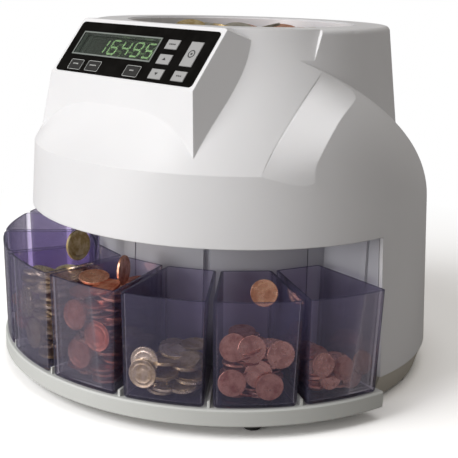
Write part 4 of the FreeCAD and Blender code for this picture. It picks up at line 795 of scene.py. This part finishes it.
LIGHTS = (
    # (name, place, diameter, watts, colour), all aimed at the middle of the machine
    ("key", (-0.52, -1.72, 1.5), 1.3, 27, (1.0, 1.0, 1.0)),
    ("low", (-0.3, -2.1, 0.16), 1.2, 27, (1.0, 0.985, 0.97)),
    ("top", (0.25, 0.1, 2.3), 1.6, 9, (1.0, 0.985, 0.96)),
)
MIDDLE = Vector((0, AXIS_Y, 0.12))
AMBIENT_COLOUR = (1.0, 0.95, 0.9, 1)
AMBIENT_STRENGTH = 0.24


def area_light(name, spot, size, power, colour):
    """Round soft light aimed at the middle of the machine."""
    data = bpy.data.lights.new(name, "AREA")
    data.shape = "DISK"
    data.size = size
    data.energy = power
    data.color = colour
    lamp = bpy.data.objects.new(name, data)
    lamp.location = spot
    lamp.rotation_euler = (MIDDLE - Vector(spot)).to_track_quat("-Z", "Y").to_euler()
    bpy.context.scene.collection.objects.link(lamp)


def make_lights():
    """Three soft lights, with a weak ambient light that the camera sees as white."""
    for light in LIGHTS:
        area_light(*light)
    world = bpy.data.worlds.new("studio")
    bpy.context.scene.world = world
    world.use_nodes = True
    tree = world.node_tree
    tree.nodes.clear()
    path = tree.nodes.new("ShaderNodeLightPath")
    ambient = tree.nodes.new("ShaderNodeBackground")
    ambient.inputs["Color"].default_value = AMBIENT_COLOUR
    ambient.inputs["Strength"].default_value = AMBIENT_STRENGTH
    white = tree.nodes.new("ShaderNodeBackground")
    white.inputs["Color"].default_value = WHITE
    white.inputs["Strength"].default_value = 1.0
    mix = tree.nodes.new("ShaderNodeMixShader")
    out = tree.nodes.new("ShaderNodeOutputWorld")
    tree.links.new(path.outputs["Is Camera Ray"], mix.inputs[0])
    tree.links.new(ambient.outputs[0], mix.inputs[1])
    tree.links.new(white.outputs[0], mix.inputs[2])
    tree.links.new(mix.outputs[0], out.inputs["Surface"])


# The view of the reference: heading, height and roll in degrees, lens and sensor in
# millimetres, distance and sideways shifts in metres
CAMERA_TURNS = (43.77, 14.71, 1.56)
CAMERA_LENS, CAMERA_SENSOR = 74.3, 36
CAMERA_DISTANCE, CAMERA_LEFT, CAMERA_DOWN = 0.7654, 0.0007, 0.023


def make_camera():
    """Camera at the height, heading and roll of the reference view."""
    azimuth, elevation, roll = (math.radians(turn) for turn in CAMERA_TURNS)
    back = Vector((math.sin(azimuth) * math.cos(elevation),
                   -math.cos(azimuth) * math.cos(elevation), math.sin(elevation)))
    right = Vector((math.cos(azimuth), math.sin(azimuth), 0))
    up = back.cross(right)
    level, rise = math.cos(roll), math.sin(roll)
    right, up = level * right + rise * up, level * up - rise * right
    data = bpy.data.cameras.new("camera")
    data.lens = CAMERA_LENS
    data.sensor_width = CAMERA_SENSOR
    camera = bpy.data.objects.new("camera", data)
    spot = MIDDLE + back * CAMERA_DISTANCE - right * CAMERA_LEFT - up * CAMERA_DOWN
    turn = Matrix((right, up, back)).transposed().to_4x4()
    camera.matrix_world = Matrix.Translation(spot) @ turn
    bpy.context.scene.collection.objects.link(camera)
    bpy.context.scene.camera = camera


dress_nodes()
make_digits()
make_key_icons()
make_key_outlines()
make_cup_coins()
make_hopper_coins()
make_floor()
make_lights()
make_camera()
bpy.context.scene.view_settings.view_transform = "Standard"
# A look through several cups crosses more clear faces than the 8 followed by default
bpy.context.scene.cycles.transparent_max_bounces = 32
